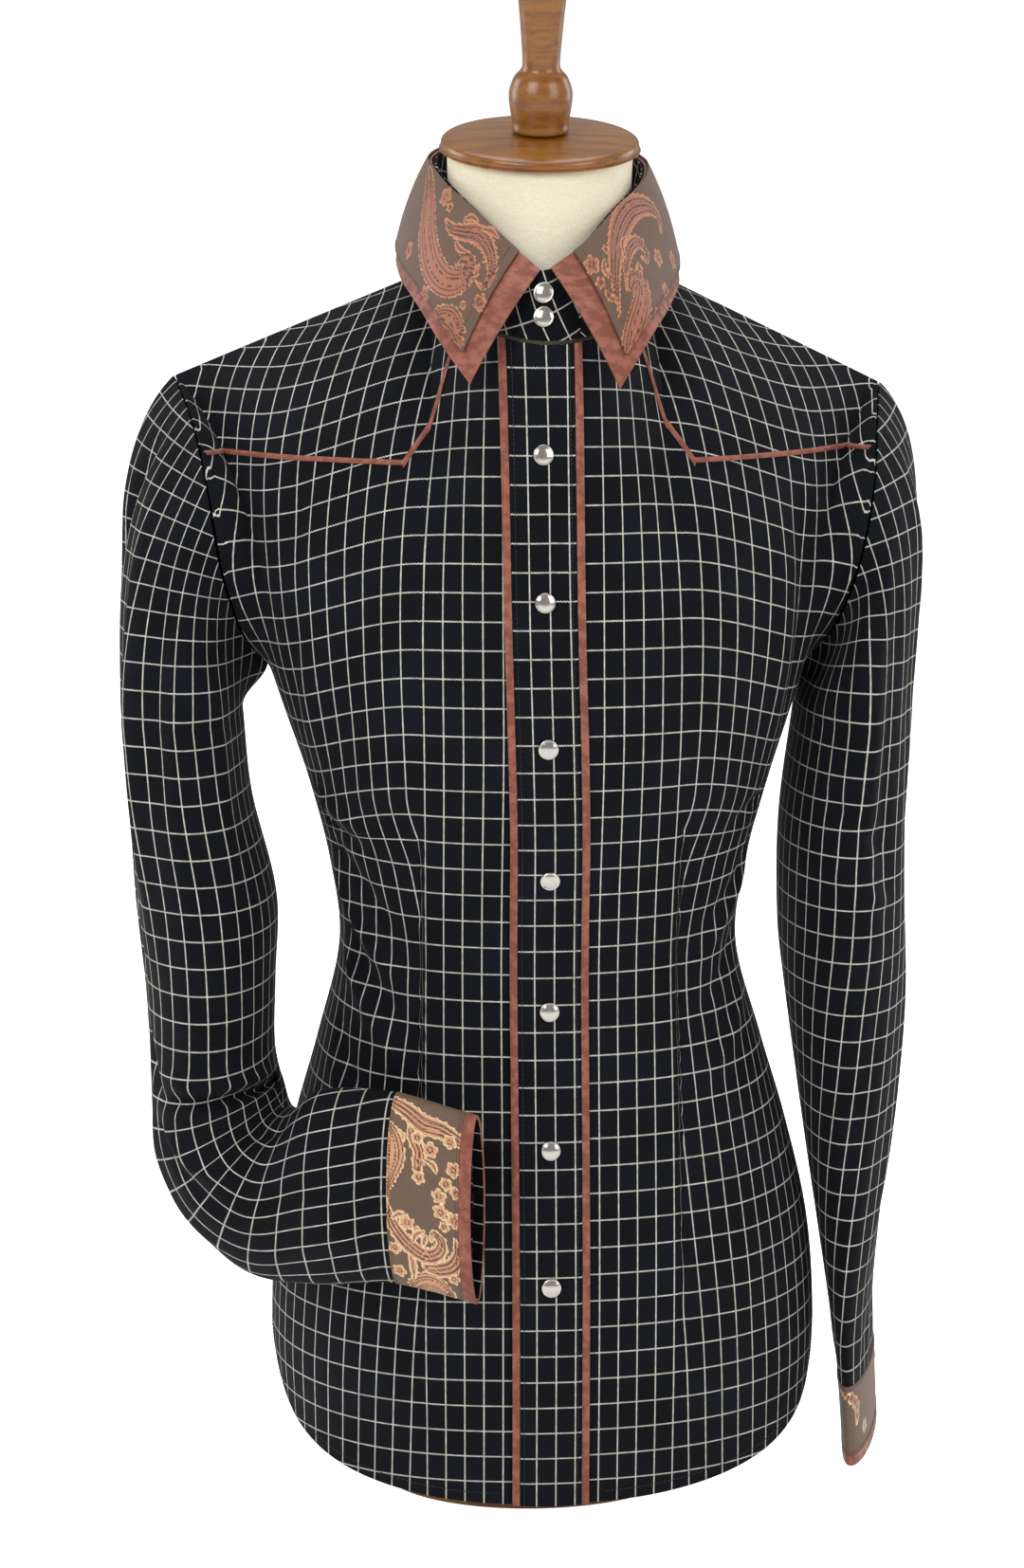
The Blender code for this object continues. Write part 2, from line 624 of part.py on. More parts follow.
# --- collar ---------------------------------------------------------------------------------------
def fold_point(angle):
    """Fold on top of the stand, at an angle in degrees, closed across the centre front."""
    angle %= 360
    if angle < COLLAR[0].angle:
        left, right = COLLAR[-1], COLLAR[0]
        t = angle / COLLAR[0].angle
        return Vector(left[1:4]).lerp(Vector(right[1:4]), t)
    return Vector(between(COLLAR, angle)[1:4])


def leaf_point(angle, down):
    """Point of the collar's fall between its fold (down 0) and its edge (down 1)."""
    row = between(COLLAR, angle)
    fold, edge = Vector(row[1:4]), Vector(row[4:7])
    away = Vector((edge.x, edge.y + 0.01, 0)).normalized() * 0.8 + Vector((0, 0, 0.6))
    return fold.lerp(edge, down) + away * (LEAF_BULGE * 4 * down * (1 - down))


def over_leaf(angle, down, lift):
    """Point of the collar's fall moved out of it by lift."""
    step = 0.5
    across = leaf_point(angle + step, down) - leaf_point(angle - step, down)
    downward = leaf_point(angle, down + 0.02) - leaf_point(angle, down - 0.02)
    return leaf_point(angle, down) + across.cross(downward).normalized() * lift


def stand_point(angle, up):
    """Point of the collar stand between the neckline (up 0) and the fold (up 1)."""
    base = neck_point(math.radians(angle), 0.0016)
    fold = fold_point(angle)
    inward = Vector((-fold.x, -fold.y, 0)).normalized()
    return base.lerp(fold + inward * 0.0022 - Vector((0, 0, 0.0010)), up)


def collar(looks, datum):
    """Stand, rust under-layer and paisley upper layer of the collar, and the stand's snaps."""
    first, last = COLLAR[0].angle, COLLAR[-1].angle
    angles = steps(-STAND_OVERLAP, 360 - STAND_OVERLAP - 0.4, 24)
    rows = [[stand_point(angle, up) for angle in angles] for up in steps(0, 1, 2)]
    wall("collar_stand", rows, looks["check_twill"], datum)
    middle = steps(first, last, 24)[2:-2]
    under, over = [], []
    for down in steps(0.0, LEAF_BORDER, 3) + [1.0]:
        border = FRONT_BORDER[0] + (FRONT_BORDER[1] - FRONT_BORDER[0]) * down
        covered = [first + border] + middle + [last - border]
        under.append([leaf_point(angle, down) for angle in [first] + covered + [last]])
        over.append([over_leaf(angle, down, CLOTH + LAY) for angle in covered])
    wall("collar_under", under, looks["rust_brocade"], datum)
    wall("collar_top", over[:-1], looks["paisley_brocade"], datum)
    for number, up in ((1, 0.68), (2, 0.34)):
        seat = stand_point(4, up)
        across = stand_point(8, up) - stand_point(0, up)
        outward = across.cross(stand_point(4, up + 0.1) - seat).normalized()
        if outward.y > 0:
            outward.negate()
        snap_on("stand_snap_%d" % number, seat + outward * LAY, outward, looks, datum)


# --- sleeves and cuffs ------------------------------------------------------------------------------
def section_point(side, section, turn, swell=0.0):
    """Point of a sleeve section; turn 0 is its outer side and pi / 2 its back."""
    lean, swing = math.radians(section.lean), math.radians(section.turn)
    backward = Vector((math.sin(swing), math.cos(swing), 0))
    level = Vector((math.cos(swing), -math.sin(swing), 0)) * side
    out = level * math.cos(lean) - Vector((0, 0, math.sin(lean)))
    centre = Vector((section.x, section.y, section.z))
    return (centre + out * (section.out + swell) * math.cos(turn)
            + backward * (section.fore + swell) * math.sin(turn))


def arm_point(side, along, turn, swell=0.0):
    """Point of a sleeve or cuff at a distance along the arm."""
    table = SLEEVE_RIGHT if side < 0 else SLEEVE_LEFT
    return section_point(side, between(table, along), turn, swell)


def cap_point(side, t, turn):
    """Point of the sleeve cap between the armhole (t 0) and the first section (t 1)."""
    half = turn / math.pi
    start = armhole_point(side, 1, half, 1) if half <= 1 else armhole_point(side, -1, 2 - half, 1)
    start = start + Vector((side * 2 * CLOTH, 0, 0))
    end = arm_point(side, 0.0, turn)
    reach = (end - start).length
    leave = Vector((side * 0.55, 0, -0.75)) * reach
    arrive = Vector((0, 0, -1)) * reach
    return hermite(start, end, leave, arrive, t)


def sleeves(looks, datum):
    """Sleeves from the armhole to the cuff seam, cuffs and the binding at their ends."""
    knots = [row.turn for row in ARMHOLE]
    half = sorted(knots + [(a + b) / 2 for a, b in zip(knots, knots[1:])])
    turns = [share * math.pi for share in half] + [(2 - share) * math.pi for share in half[-2:0:-1]]
    for name, side in (("right", -1), ("left", 1)):
        seam, end = CUFF_SEAM[side], CUFF_END[side]
        rows = [[cap_point(side, t, turn) for turn in turns] for t in steps(0, 1, 4)]
        rows += [[arm_point(side, along, turn) for turn in turns]
                 for along in steps(0, seam - SEAM, 12)[1:]]
        wall("sleeve_" + name, rows, looks["check_twill"], datum, closed=True)
        rows = [[arm_point(side, along, turn, 0.0004) for turn in turns]
                for along in steps(seam, end - CUFF_BINDING - SEAM, 1)]
        wall("cuff_" + name, rows, looks["paisley_brocade"], datum, closed=True, thickness=0.0014)
        rows = [[arm_point(side, along, turn, 0.0007) for turn in turns]
                for along in steps(end - CUFF_BINDING, end, 1)]
        wall("cuff_binding_" + name, rows, looks["rust_brocade"], datum, closed=True,
             thickness=0.0018)
        middle = seam + (end - seam) * 0.45
        seat = arm_point(side, middle, math.pi / 2, 0.0004 + LAY)
        table = SLEEVE_RIGHT if side < 0 else SLEEVE_LEFT
        swing = math.radians(between(table, middle).turn)
        outward = Vector((math.sin(swing), math.cos(swing), 0))
        snap_on("cuff_snap_" + name, seat, outward, looks, datum)


# --- the dress form -----------------------------------------------------------------------------------
def form_point(side, face, share, along):
    """Point of the form's torso, drawn in from the cloth, most at the arms and shoulders."""
    point = body(side, face, share, along)
    sideways = min(max((share - 0.4) / 0.4, 0), 1)
    upward = min(max((along - 0.85) / 0.15, 0), 1)
    scale = FORM_SCALE - FORM_ARM_SCALE * max(sideways, upward)
    return Vector((point.x * scale, point.y * scale, point.z - FORM_DROP))


def form_body(looks, datum):
    """Linen torso and neck in one closed shape."""
    shares = steps(0, NECK_SHARE, 6) + steps(NECK_SHARE, SHOULDER_SHARE, 4)[1:] \
        + steps(SHOULDER_SHARE, 1, 4)[1:]
    neck_count = 7
    quarters = [(side, face) for side in (-1, 1) for face in (-1, 1)]
    bm = bmesh.new()
    corner = {}
    for side, face in quarters:
        for c, share in enumerate(shares):
            low = along_at(side, face, share, FORM_BOTTOM)
            for r, along in enumerate(steps(low, 1, 14)):
                corner[side, face, c, r] = bm.verts.new(form_point(side, face, share, along))
    top = 14
    neck_rings = ((0.748, 0.0518, 0.062, 0.048), (0.766, 0.0516, 0.056, 0.048))
    for side, face in quarters:
        for c in range(len(shares) - 1):
            for r in range(top):
                bm.faces.new([corner[side, face, c + i, r + j]
                              for i, j in ((0, 0), (1, 0), (1, 1), (0, 1))])
        rings = [[corner[side, face, c, top] for c in range(neck_count)]]
        for height, half_width, front, rear in neck_rings:
            depth = front if face < 0 else rear
            rings.append([bm.verts.new(Vector((side * half_width * math.sin(quarter),
                                               face * depth * math.cos(quarter), height)))
                          for quarter in steps(0, math.pi / 2, neck_count - 1)])
        tilt = Matrix.Rotation(CAP_TILT, 3, "X")
        rings.append([bm.verts.new(CAP_CENTRE + tilt @ Vector((side * 0.0520 * math.sin(quarter),
                                                               face * 0.0520 * math.cos(quarter),
                                                               -0.0030)))
                      for quarter in steps(0, math.pi / 2, neck_count - 1)])
        lid = bm.verts.new(CAP_CENTRE + tilt @ Vector((0, 0, -0.0030)))
        for low, high in zip(rings, rings[1:]):
            for c in range(neck_count - 1):
                bm.faces.new((low[c], low[c + 1], high[c + 1], high[c]))
        for c in range(neck_count - 1):
            bm.faces.new((rings[-1][c], rings[-1][c + 1], lid))
        floor = bm.verts.new(Vector((0, 0, FORM_BOTTOM - FORM_DROP)))
        for c in range(len(shares) - 1):
            bm.faces.new((corner[side, face, c, 0], corner[side, face, c + 1, 0], floor))
    shoulder = shares.index(SHOULDER_SHARE)
    for side in (-1, 1):
        for c in range(shoulder, len(shares) - 1):
            bm.faces.new((corner[side, -1, c, top], corner[side, -1, c + 1, top],
                          corner[side, 1, c + 1, top], corner[side, 1, c, top]))
    bmesh.ops.remove_doubles(bm, verts=bm.verts, dist=0.00002)
    bmesh.ops.dissolve_degenerate(bm, edges=bm.edges, dist=0.00002)
    finish("form_body", bm, looks["linen"], datum)


def form_wood(looks, datum):
    """Neck cap, finial and foot of the form."""
    tilt = Matrix.Translation(CAP_CENTRE) @ Matrix.Rotation(CAP_TILT, 4, "X")
    turned("neck_cap", CAP_PROFILE, 40, tilt, looks["turned_wood"], datum)
    turned("finial", FINIAL_PROFILE, 24, tilt, looks["turned_wood"], datum)
    bm = bmesh.new()
    sides = 32
    rings = [[bm.verts.new(Vector((oval.half_width * math.cos(angle),
                                   FOOT_BACK + oval.half_depth * math.sin(angle),
                                   oval.height - CLEARANCE)))
              for angle in steps(0, 2 * math.pi, sides)[:-1]]
             for oval in FOOT_RINGS]
    for low, high in zip(rings, rings[1:]):
        for c in range(sides):
            n = (c + 1) % sides
            bm.faces.new((low[c], low[n], high[n], high[c]))
    bm.faces.new(rings[0])
    bm.faces.new(rings[-1])
    finish("foot", bm, looks["turned_wood"], datum)


def make_looks():
    """One Principled material for each kind of cloth, metal and wood."""
    looks = {}
    for name, (colour, roughness, metallic) in LOOKS.items():
        material = bpy.data.materials.new(name)
        material.use_nodes = True
        shader = material.node_tree.nodes["Principled BSDF"]
        shader.inputs["Base Color"].default_value = (*colour, 1)
        shader.inputs["Roughness"].default_value = roughness
        shader.inputs["Metallic"].default_value = metallic
        looks[name] = material
    return looks


def main():
    """Build every piece on the hem datum."""
    for old in list(bpy.data.objects):
        bpy.data.objects.remove(old, do_unlink=True)
    datum = bpy.data.objects.new("hem_datum", None)
    datum.location = (0, 0, CLEARANCE)
    bpy.context.collection.objects.link(datum)
    looks = make_looks()
    panels(looks, datum)
    placket(looks, datum)
    placket_snaps(looks, datum)
    collar(looks, datum)
    sleeves(looks, datum)
    form_body(looks, datum)
    form_wood(looks, datum)


main()
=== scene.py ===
"""Looks of a western snap shirt worn on a limbless dress form, built over its CAD frame.

Metres, +Z up, the front towards -Y, the wearer's right side towards -X. Heights in the tables are
measured from the hem datum, CLEARANCE above the floor.
"""
import math
from collections import namedtuple
from functools import lru_cache

import bmesh
import bpy
import numpy as np
from mathutils import Matrix, Vector


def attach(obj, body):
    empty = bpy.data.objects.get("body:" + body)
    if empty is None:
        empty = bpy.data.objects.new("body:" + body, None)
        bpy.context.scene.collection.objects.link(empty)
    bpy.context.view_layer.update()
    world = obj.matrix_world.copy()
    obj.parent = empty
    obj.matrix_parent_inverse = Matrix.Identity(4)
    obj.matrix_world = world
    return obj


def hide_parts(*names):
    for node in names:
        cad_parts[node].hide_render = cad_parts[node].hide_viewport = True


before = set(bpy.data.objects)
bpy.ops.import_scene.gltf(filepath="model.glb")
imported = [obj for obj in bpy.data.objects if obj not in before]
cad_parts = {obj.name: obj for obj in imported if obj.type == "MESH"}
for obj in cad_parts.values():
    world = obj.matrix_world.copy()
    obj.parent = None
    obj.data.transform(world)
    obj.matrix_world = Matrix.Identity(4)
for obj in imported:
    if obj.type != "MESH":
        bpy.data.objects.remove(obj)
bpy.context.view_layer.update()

bl_info = {
    "name": "Western snap shirt",
    "version": (1, 0, 0),
    "blender": (4, 5, 0),
    "location": "3D View > Sidebar > Shirt",
    "description": "Cloth, snaps and dress form of a western snap shirt",
    "category": "Object",
}

# --- cut and form, as in the CAD ----------------------------------------------------------------
CLEARANCE = 0.015            # hem datum above the floor
CLOTH = 0.0010               # thickness of one wall of cloth
SQUARENESS = 0.05            # how far the torso's sections fill out past an ellipse
ARMPIT = 0.495
NECK_SHARE = 0.26
SHOULDER_SHARE = 0.66
NECK_FRONT = Vector((0.0, -0.097, 0.686))
NECK_BACK = Vector((0.0, 0.062, 0.733))
NECK_SIDE = Vector((0.060, 0.008, 0.7190))
SHOULDER_SLANT = 0.003
PLACKET_WIDTH = 0.035
PIPING_WIDTH = 0.0042
YOKE_PIPING_WIDTH = 0.0030
YOKE_LINE = 0.622
YOKE_CORNER = 0.080
YOKE_TOP_SHARE = 0.14
BACK_YOKE_DIP = 0.022
SNAP_RADIUS = 0.0057
SNAP_HEIGHT = 0.0020
SNAP_PITCH = 0.0785
LOWEST_SNAP = 0.156
SNAP_COUNT = 7
FORM_SCALE = 0.955
FORM_ARM_SCALE = 0.130
FORM_DROP = 0.004
FORM_BOTTOM = 0.095
CUFF_BINDING = 0.0065
CAP_TILT = math.radians(12)
CAP_CENTRE = Vector((0.0, -0.003, 0.7885))
STEEPEST_LEAN = 0.97
LAY = 0.0008                 # gap under a piece that lies on another

Ring = namedtuple("Ring", "height right left front back")
TORSO = (
    Ring(0.010, 0.153, 0.160, 0.113, 0.104),
    Ring(0.060, 0.157, 0.164, 0.115, 0.107),
    Ring(0.100, 0.160, 0.166, 0.116, 0.108),
    Ring(0.160, 0.156, 0.161, 0.115, 0.106),
    Ring(0.220, 0.145, 0.147, 0.110, 0.098),
    Ring(0.270, 0.131, 0.132, 0.104, 0.087),
    Ring(0.330, 0.117, 0.116, 0.099, 0.077),
    Ring(0.380, 0.122, 0.121, 0.105, 0.078),
    Ring(0.430, 0.134, 0.133, 0.118, 0.084),
    Ring(0.470, 0.147, 0.145, 0.125, 0.089),
    Ring(0.510, 0.160, 0.157, 0.122, 0.092),
)
Hem = namedtuple("Hem", "share front back")
HEM = (
    Hem(0.00, 0.021, 0.018),
    Hem(0.25, 0.024, 0.021),
    Hem(0.50, 0.034, 0.031),
    Hem(0.70, 0.049, 0.046),
    Hem(0.85, 0.067, 0.065),
    Hem(1.00, 0.090, 0.090),
)
Armhole = namedtuple("Armhole", "share turn right left front back height")
ARMHOLE = (
    Armhole(0.00, 0.00, 0.206, 0.196, 0.012, 0.012, 0.6565),
    Armhole(0.12, 0.20, 0.196, 0.190, -0.022, 0.042, 0.636),
    Armhole(0.25, 0.45, 0.187, 0.185, -0.046, 0.058, 0.600),
    Armhole(0.41, 0.70, 0.180, 0.177, -0.046, 0.054, 0.555),
    Armhole(0.62, 0.88, 0.169, 0.166, -0.026, 0.031, 0.516),
    Armhole(1.00, 1.00, 0.155, 0.152, 0.000, 0.000, ARMPIT),
)
Lean = namedtuple("Lean", "share slope outward")
LEAN = (
    Lean(0.00, 0.25, 0.00),
    Lean(0.13, 0.60, 0.00),
    Lean(NECK_SHARE, 0.92, 0.00),
    Lean(0.40, 0.95, 0.00),
    Lean(0.56, 0.88, 0.20),
    Lean(SHOULDER_SHARE, 0.62, 0.55),
    Lean(0.72, 0.30, 0.62),
    Lean(0.80, 0.05, 0.60),
    Lean(0.90, 0.00, 0.55),
    Lean(1.00, 0.00, 0.50),
)
Middle = namedtuple("Middle", "height x")
PLACKET_LINE = (
    Middle(0.00, 0.000),
    Middle(0.39, -0.001),
    Middle(0.475, -0.0035),
    Middle(0.55, -0.005),
    Middle(0.69, -0.006),
)
Section = namedtuple("Section", "along x y z out fore lean turn")
SLEEVE_RIGHT = (
    Section(0.000, -0.2060, 0.0000, 0.4700, 0.0350, 0.0700, 0, 0),
    Section(0.050, -0.2025, -0.0040, 0.4200, 0.0360, 0.0680, 0, 0),
    Section(0.110, -0.1940, -0.0120, 0.3610, 0.0410, 0.0640, 0, 0),
    Section(0.160, -0.1920, -0.0200, 0.3120, 0.0375, 0.0620, 0, 3),
    Section(0.205, -0.1910, -0.0300, 0.2680, 0.0355, 0.0590, 4, 8),
    Section(0.240, -0.1870, -0.0430, 0.2400, 0.0385, 0.0530, 24, 14),
    Section(0.275, -0.1760, -0.0600, 0.2160, 0.0430, 0.0440, 50, 20),
    Section(0.305, -0.1570, -0.0785, 0.2045, 0.0530, 0.0320, 73, 24),
    Section(0.340, -0.1310, -0.0990, 0.2120, 0.0580, 0.0230, 88, 26),
    Section(0.368, -0.1070, -0.1125, 0.2165, 0.0575, 0.0185, 90, 27),
    Section(0.391, -0.0870, -0.1225, 0.2185, 0.0560, 0.0145, 90, 27),
    Section(0.440, -0.0435, -0.1445, 0.2125, 0.0545, 0.0100, 90, 27),
)
SLEEVE_LEFT = (
    Section(0.000, 0.1815, 0.0000, 0.4650, 0.0315, 0.0700, 0, 0),
    Section(0.065, 0.1780, -0.0020, 0.4000, 0.0360, 0.0660, 0, 0),
    Section(0.128, 0.1785, -0.0040, 0.3370, 0.0365, 0.0630, 0, 0),
    Section(0.165, 0.1805, -0.0050, 0.3000, 0.0345, 0.0610, 0, 2),
    Section(0.215, 0.1830, -0.0060, 0.2500, 0.0300, 0.0600, 0, 5),
    Section(0.268, 0.1850, -0.0070, 0.1970, 0.0240, 0.0580, 0, 8),
    Section(0.315, 0.1870, -0.0080, 0.1500, 0.0180, 0.0565, 0, 11),
    Section(0.360, 0.1895, -0.0090, 0.1050, 0.0125, 0.0550, 0, 13),
    Section(0.398, 0.1930, -0.0100, 0.0670, 0.0095, 0.0535, 0, 15),
    Section(0.448, 0.1965, -0.0100, 0.0170, 0.0085, 0.0530, 0, 15),
)
CUFF_SEAM = {-1: 0.391, 1: 0.398}
CUFF_END = {-1: 0.440, 1: 0.448}
Collar = namedtuple("Collar", "angle fold_x fold_y fold_z edge_x edge_y edge_z")
COLLAR = (
    Collar(6, -0.006, -0.0920, 0.7255, -0.0450, -0.1120, 0.6665),
    Collar(22, -0.018, -0.0800, 0.7355, -0.0580, -0.0970, 0.6840),
    Collar(46, -0.040, -0.0480, 0.7560, -0.0710, -0.0620, 0.7045),
    Collar(70, -0.055, -0.0130, 0.7700, -0.0795, -0.0180, 0.7175),
    Collar(95, -0.060, 0.0220, 0.7810, -0.0780, 0.0360, 0.7270),
    Collar(140, -0.037, 0.0550, 0.7880, -0.0490, 0.0700, 0.7310),
    Collar(180, 0.000, 0.0650, 0.7900, 0.0000, 0.0800, 0.7320),
    Collar(220, 0.037, 0.0550, 0.7880, 0.0490, 0.0700, 0.7310),
    Collar(265, 0.060, 0.0220, 0.7790, 0.0770, 0.0360, 0.7255),
    Collar(290, 0.0565, -0.0130, 0.7690, 0.0775, -0.0180, 0.7150),
    Collar(314, 0.037, -0.0480, 0.7540, 0.0680, -0.0600, 0.7035),
    Collar(338, 0.019, -0.0770, 0.7385, 0.0540, -0.0940, 0.6890),
    Collar(360, 0.000, -0.0920, 0.7265, 0.0360, -0.1120, 0.6635),
)
STAND_OVERLAP = 15.5
LEAF_BULGE = 0.003
LEAF_BORDER = 0.89
FRONT_BORDER = (14, 7)

# --- hang of the check ----------------------------------------------------------------------------
Dart = namedtuple("Dart", "height intake")
WAIST_DART = (               # cloth taken up by each fisheye dart
    Dart(0.02, 0.000), Dart(0.12, 0.004), Dart(0.24, 0.016), Dart(0.33, 0.022),
    Dart(0.39, 0.014), Dart(0.44, 0.000), Dart(0.80, 0.000),
)
WAIST_DART_AT = {-1: 0.074, 1: 0.076}      # distance of the darts from the centre
BUST_DART = 0.020            # cloth taken up by the bust dart at the side seam
BUST_DART_HEIGHT = 0.405
YOKE_DROOP = 0.010           # how much lower the check hangs at the shoulder tips

# Folds on a piece's own cloth: from (u0, v0) to (u1, v1), across and up in metres, their half
# width and their height, minus for a trough
Fold = namedtuple("Fold", "u0 v0 u1 v1 width height")
FRONT_FOLDS = (
    Fold(-0.160, 0.405, -0.085, 0.345, 0.0070, -0.0032),
    Fold(-0.155, 0.385, -0.080, 0.320, 0.0060, 0.0035),
    Fold(-0.150, 0.360, -0.075, 0.290, 0.0065, -0.0029),
    Fold(-0.148, 0.335, -0.082, 0.268, 0.0060, 0.0029),
    Fold(-0.146, 0.300, -0.090, 0.240, 0.0070, -0.0025),
    Fold(-0.150, 0.270, -0.095, 0.215, 0.0070, 0.0020),
    Fold(-0.168, 0.430, -0.105, 0.412, 0.0060, 0.0023),
    Fold(-0.165, 0.417, -0.110, 0.402, 0.0045, -0.0026),
    Fold(-0.150, 0.620, -0.165, 0.470, 0.0090, -0.0041),
    Fold(-0.135, 0.600, -0.150, 0.450, 0.0110, 0.0032),
    Fold(-0.112, 0.570, -0.128, 0.430, 0.0120, -0.0017),
    Fold(-0.045, 0.640, -0.055, 0.520, 0.0120, 0.0014),
    Fold(-0.060, 0.200, -0.066, 0.080, 0.0150, 0.0017),
    Fold(0.160, 0.405, 0.090, 0.352, 0.0065, -0.0023),
    Fold(0.155, 0.380, 0.085, 0.325, 0.0065, 0.0025),
    Fold(0.150, 0.350, 0.082, 0.296, 0.0060, -0.0020),
    Fold(0.148, 0.320, 0.088, 0.262, 0.0070, 0.0020),
    Fold(0.166, 0.425, 0.108, 0.410, 0.0050, -0.0023),
    Fold(0.150, 0.610, 0.163, 0.470, 0.0090, -0.0035),
    Fold(0.132, 0.595, 0.147, 0.450, 0.0110, 0.0029),
    Fold(0.050, 0.630, 0.060, 0.510, 0.0120, 0.0014),
    Fold(0.100, 0.240, 0.115, 0.110, 0.0140, 0.0017),
)
BACK_FOLDS = (
    Fold(-0.150, 0.395, -0.060, 0.345, 0.0070, -0.0020),
    Fold(-0.148, 0.370, -0.050, 0.322, 0.0070, 0.0022),
    Fold(-0.145, 0.345, -0.055, 0.300, 0.0065, -0.0018),
    Fold(-0.140, 0.310, -0.070, 0.272, 0.0070, 0.0014),
    Fold(0.148, 0.400, 0.050, 0.350, 0.0070, -0.0019),
    Fold(0.145, 0.372, 0.058, 0.330, 0.0065, 0.0020),
    Fold(0.142, 0.340, 0.064, 0.296, 0.0070, -0.0016),
    Fold(-0.145, 0.610, -0.155, 0.460, 0.0110, -0.0024),
    Fold(0.142, 0.600, 0.152, 0.455, 0.0110, -0.0022),
    Fold(-0.040, 0.560, -0.030, 0.430, 0.0140, 0.0012),
    Fold(0.030, 0.540, 0.036, 0.440, 0.0140, 0.0010),
)
RIGHT_SLEEVE_FOLDS = (       # u round the sleeve from its outer side, minus towards the front; v down
    Fold(-0.014, 0.190, -0.020, -0.150, 0.0065, -0.0088),
    Fold(-0.030, 0.170, -0.040, -0.130, 0.0090, 0.0047),
    Fold(-0.075, 0.110, -0.068, -0.060, 0.0100, -0.0041),
    Fold(-0.058, 0.080, -0.052, -0.160, 0.0100, 0.0022),
    Fold(-0.110, 0.030, -0.095, -0.110, 0.0100, 0.0027),
    Fold(-0.150, -0.229, -0.045, -0.214, 0.0050, -0.0101),
    Fold(-0.140, -0.214, -0.050, -0.200, 0.0070, 0.0049),
    Fold(-0.045, -0.214, -0.020, -0.180, 0.0060, -0.0054),
    Fold(-0.048, -0.222, -0.090, -0.290, 0.0060, 0.0035),
    Fold(-0.040, -0.220, -0.060, -0.300, 0.0060, -0.0035),
    Fold(-0.030, -0.225, -0.030, -0.300, 0.0070, 0.0030),
    Fold(-0.100, -0.240, -0.120, -0.320, 0.0070, -0.0027),
    Fold(-0.030, -0.305, -0.038, -0.385, 0.0090, 0.0022),
    Fold(-0.075, -0.300, -0.070, -0.375, 0.0080, -0.0022),
    Fold(0.120, -0.225, 0.040, -0.205, 0.0060, -0.0054),
    Fold(0.110, -0.240, 0.035, -0.235, 0.0060, 0.0041),
    Fold(0.060, 0.120, 0.070, -0.120, 0.0110, -0.0032),
    Fold(0.030, 0.100, 0.036, -0.150, 0.0100, 0.0027),
)
LEFT_SLEEVE_FOLDS = (
    Fold(-0.030, 0.170, -0.034, -0.060, 0.0090, 0.0038),
    Fold(-0.052, 0.120, -0.055, -0.140, 0.0100, -0.0038),
    Fold(-0.085, 0.080, -0.078, -0.080, 0.0090, 0.0035),
    Fold(-0.105, -0.040, -0.060, -0.075, 0.0060, -0.0029),
    Fold(-0.100, -0.080, -0.050, -0.105, 0.0060, 0.0024),
    Fold(-0.020, -0.120, -0.040, -0.330, 0.0100, 0.0026),
    Fold(-0.060, -0.150, -0.066, -0.360, 0.0090, -0.0022),
    Fold(0.030, 0.150, 0.036, -0.120, 0.0110, -0.0035),
    Fold(0.070, 0.090, 0.062, -0.160, 0.0110, 0.0032),
    Fold(0.045, -0.160, 0.050, -0.350, 0.0100, -0.0022),
)


# --- curves and grids -------------------------------------------------------------------------------
def hermite(start, end, start_slope, end_slope, t):
    """Cubic from start to end with the given slopes, at t from 0 to 1."""
    t2, t3 = t * t, t * t * t
    return (start * (2 * t3 - 3 * t2 + 1) + start_slope * (t3 - 2 * t2 + t)
            + end * (3 * t2 - 2 * t3) + end_slope * (t3 - t2))


def smooth(value, start, end):
    """0 before start, 1 after end and a soft step between them."""
    t = np.clip((value - start) / (end - start), 0.0, 1.0)
    return t * t * (3 - 2 * t)


def curve(table, at, key=0):
    """Columns of a table at values of its key column, on smooth curves through its rows."""
    rows = np.array([tuple(row) for row in table], float)
    first = rows[:, key]
    order = np.arange(len(rows))
    low, high = np.maximum(order - 1, 0), np.minimum(order + 1, len(rows) - 1)
    slope = (rows[high] - rows[low]) / (first[high] - first[low])[:, None]
    at = np.clip(np.asarray(at, float), first[0], first[-1])
    k = np.clip(np.searchsorted(first, at, side="right") - 1, 0, len(rows) - 2)
    span = (first[k + 1] - first[k])[..., None]
    t = (at - first[k])[..., None] / span
    found = hermite(rows[k], rows[k + 1], slope[k] * span, slope[k + 1] * span, t)
    return np.moveaxis(found, -1, 0)


def unit(vectors):
    """Vectors of length 1."""
    return vectors / np.maximum(np.linalg.norm(vectors, axis=-1, keepdims=True), 1e-12)


def grid_normals(points, closed=False):
    """Unit normals of a grid of points (across, up, xyz)."""
    if closed:
        ring = np.concatenate([points[-2:-1], points, points[1:2]])
        across = ring[2:] - ring[:-2]
    else:
        across = np.gradient(points, axis=0)
    return unit(np.cross(across, np.gradient(points, axis=1)))


def outward_normals(points, centre, closed=False):
    """Grid normals that face away from a centre."""
    normals = grid_normals(points, closed)
    middle = points.mean(axis=(0, 1)) if centre is None else centre
    if (normals * (points - middle)).sum() < 0:
        normals = -normals
    return normals


def relief(uv, folds):
    """Height of the folds over a piece's own coordinates."""
    total = np.zeros(uv.shape[:-1])
    for number, fold in enumerate(folds):
        start = np.array([fold.u0, fold.v0])
        run = np.array([fold.u1, fold.v1]) - start
        length = np.linalg.norm(run)
        along, across = run / length, np.array([-run[1], run[0]]) / length
        t = (uv - start) @ along / length
        bow = 0.06 * length * np.sin(math.pi * np.clip(t, 0, 1)) * math.cos(number * 2.4)
        away = (uv - start) @ across - bow
        fade = smooth(t, -0.12, 0.30) * (1 - smooth(t, 0.62, 1.12))
        total += fold.height * fade * np.exp(-np.abs(away / fold.width) ** 1.7)
    return total


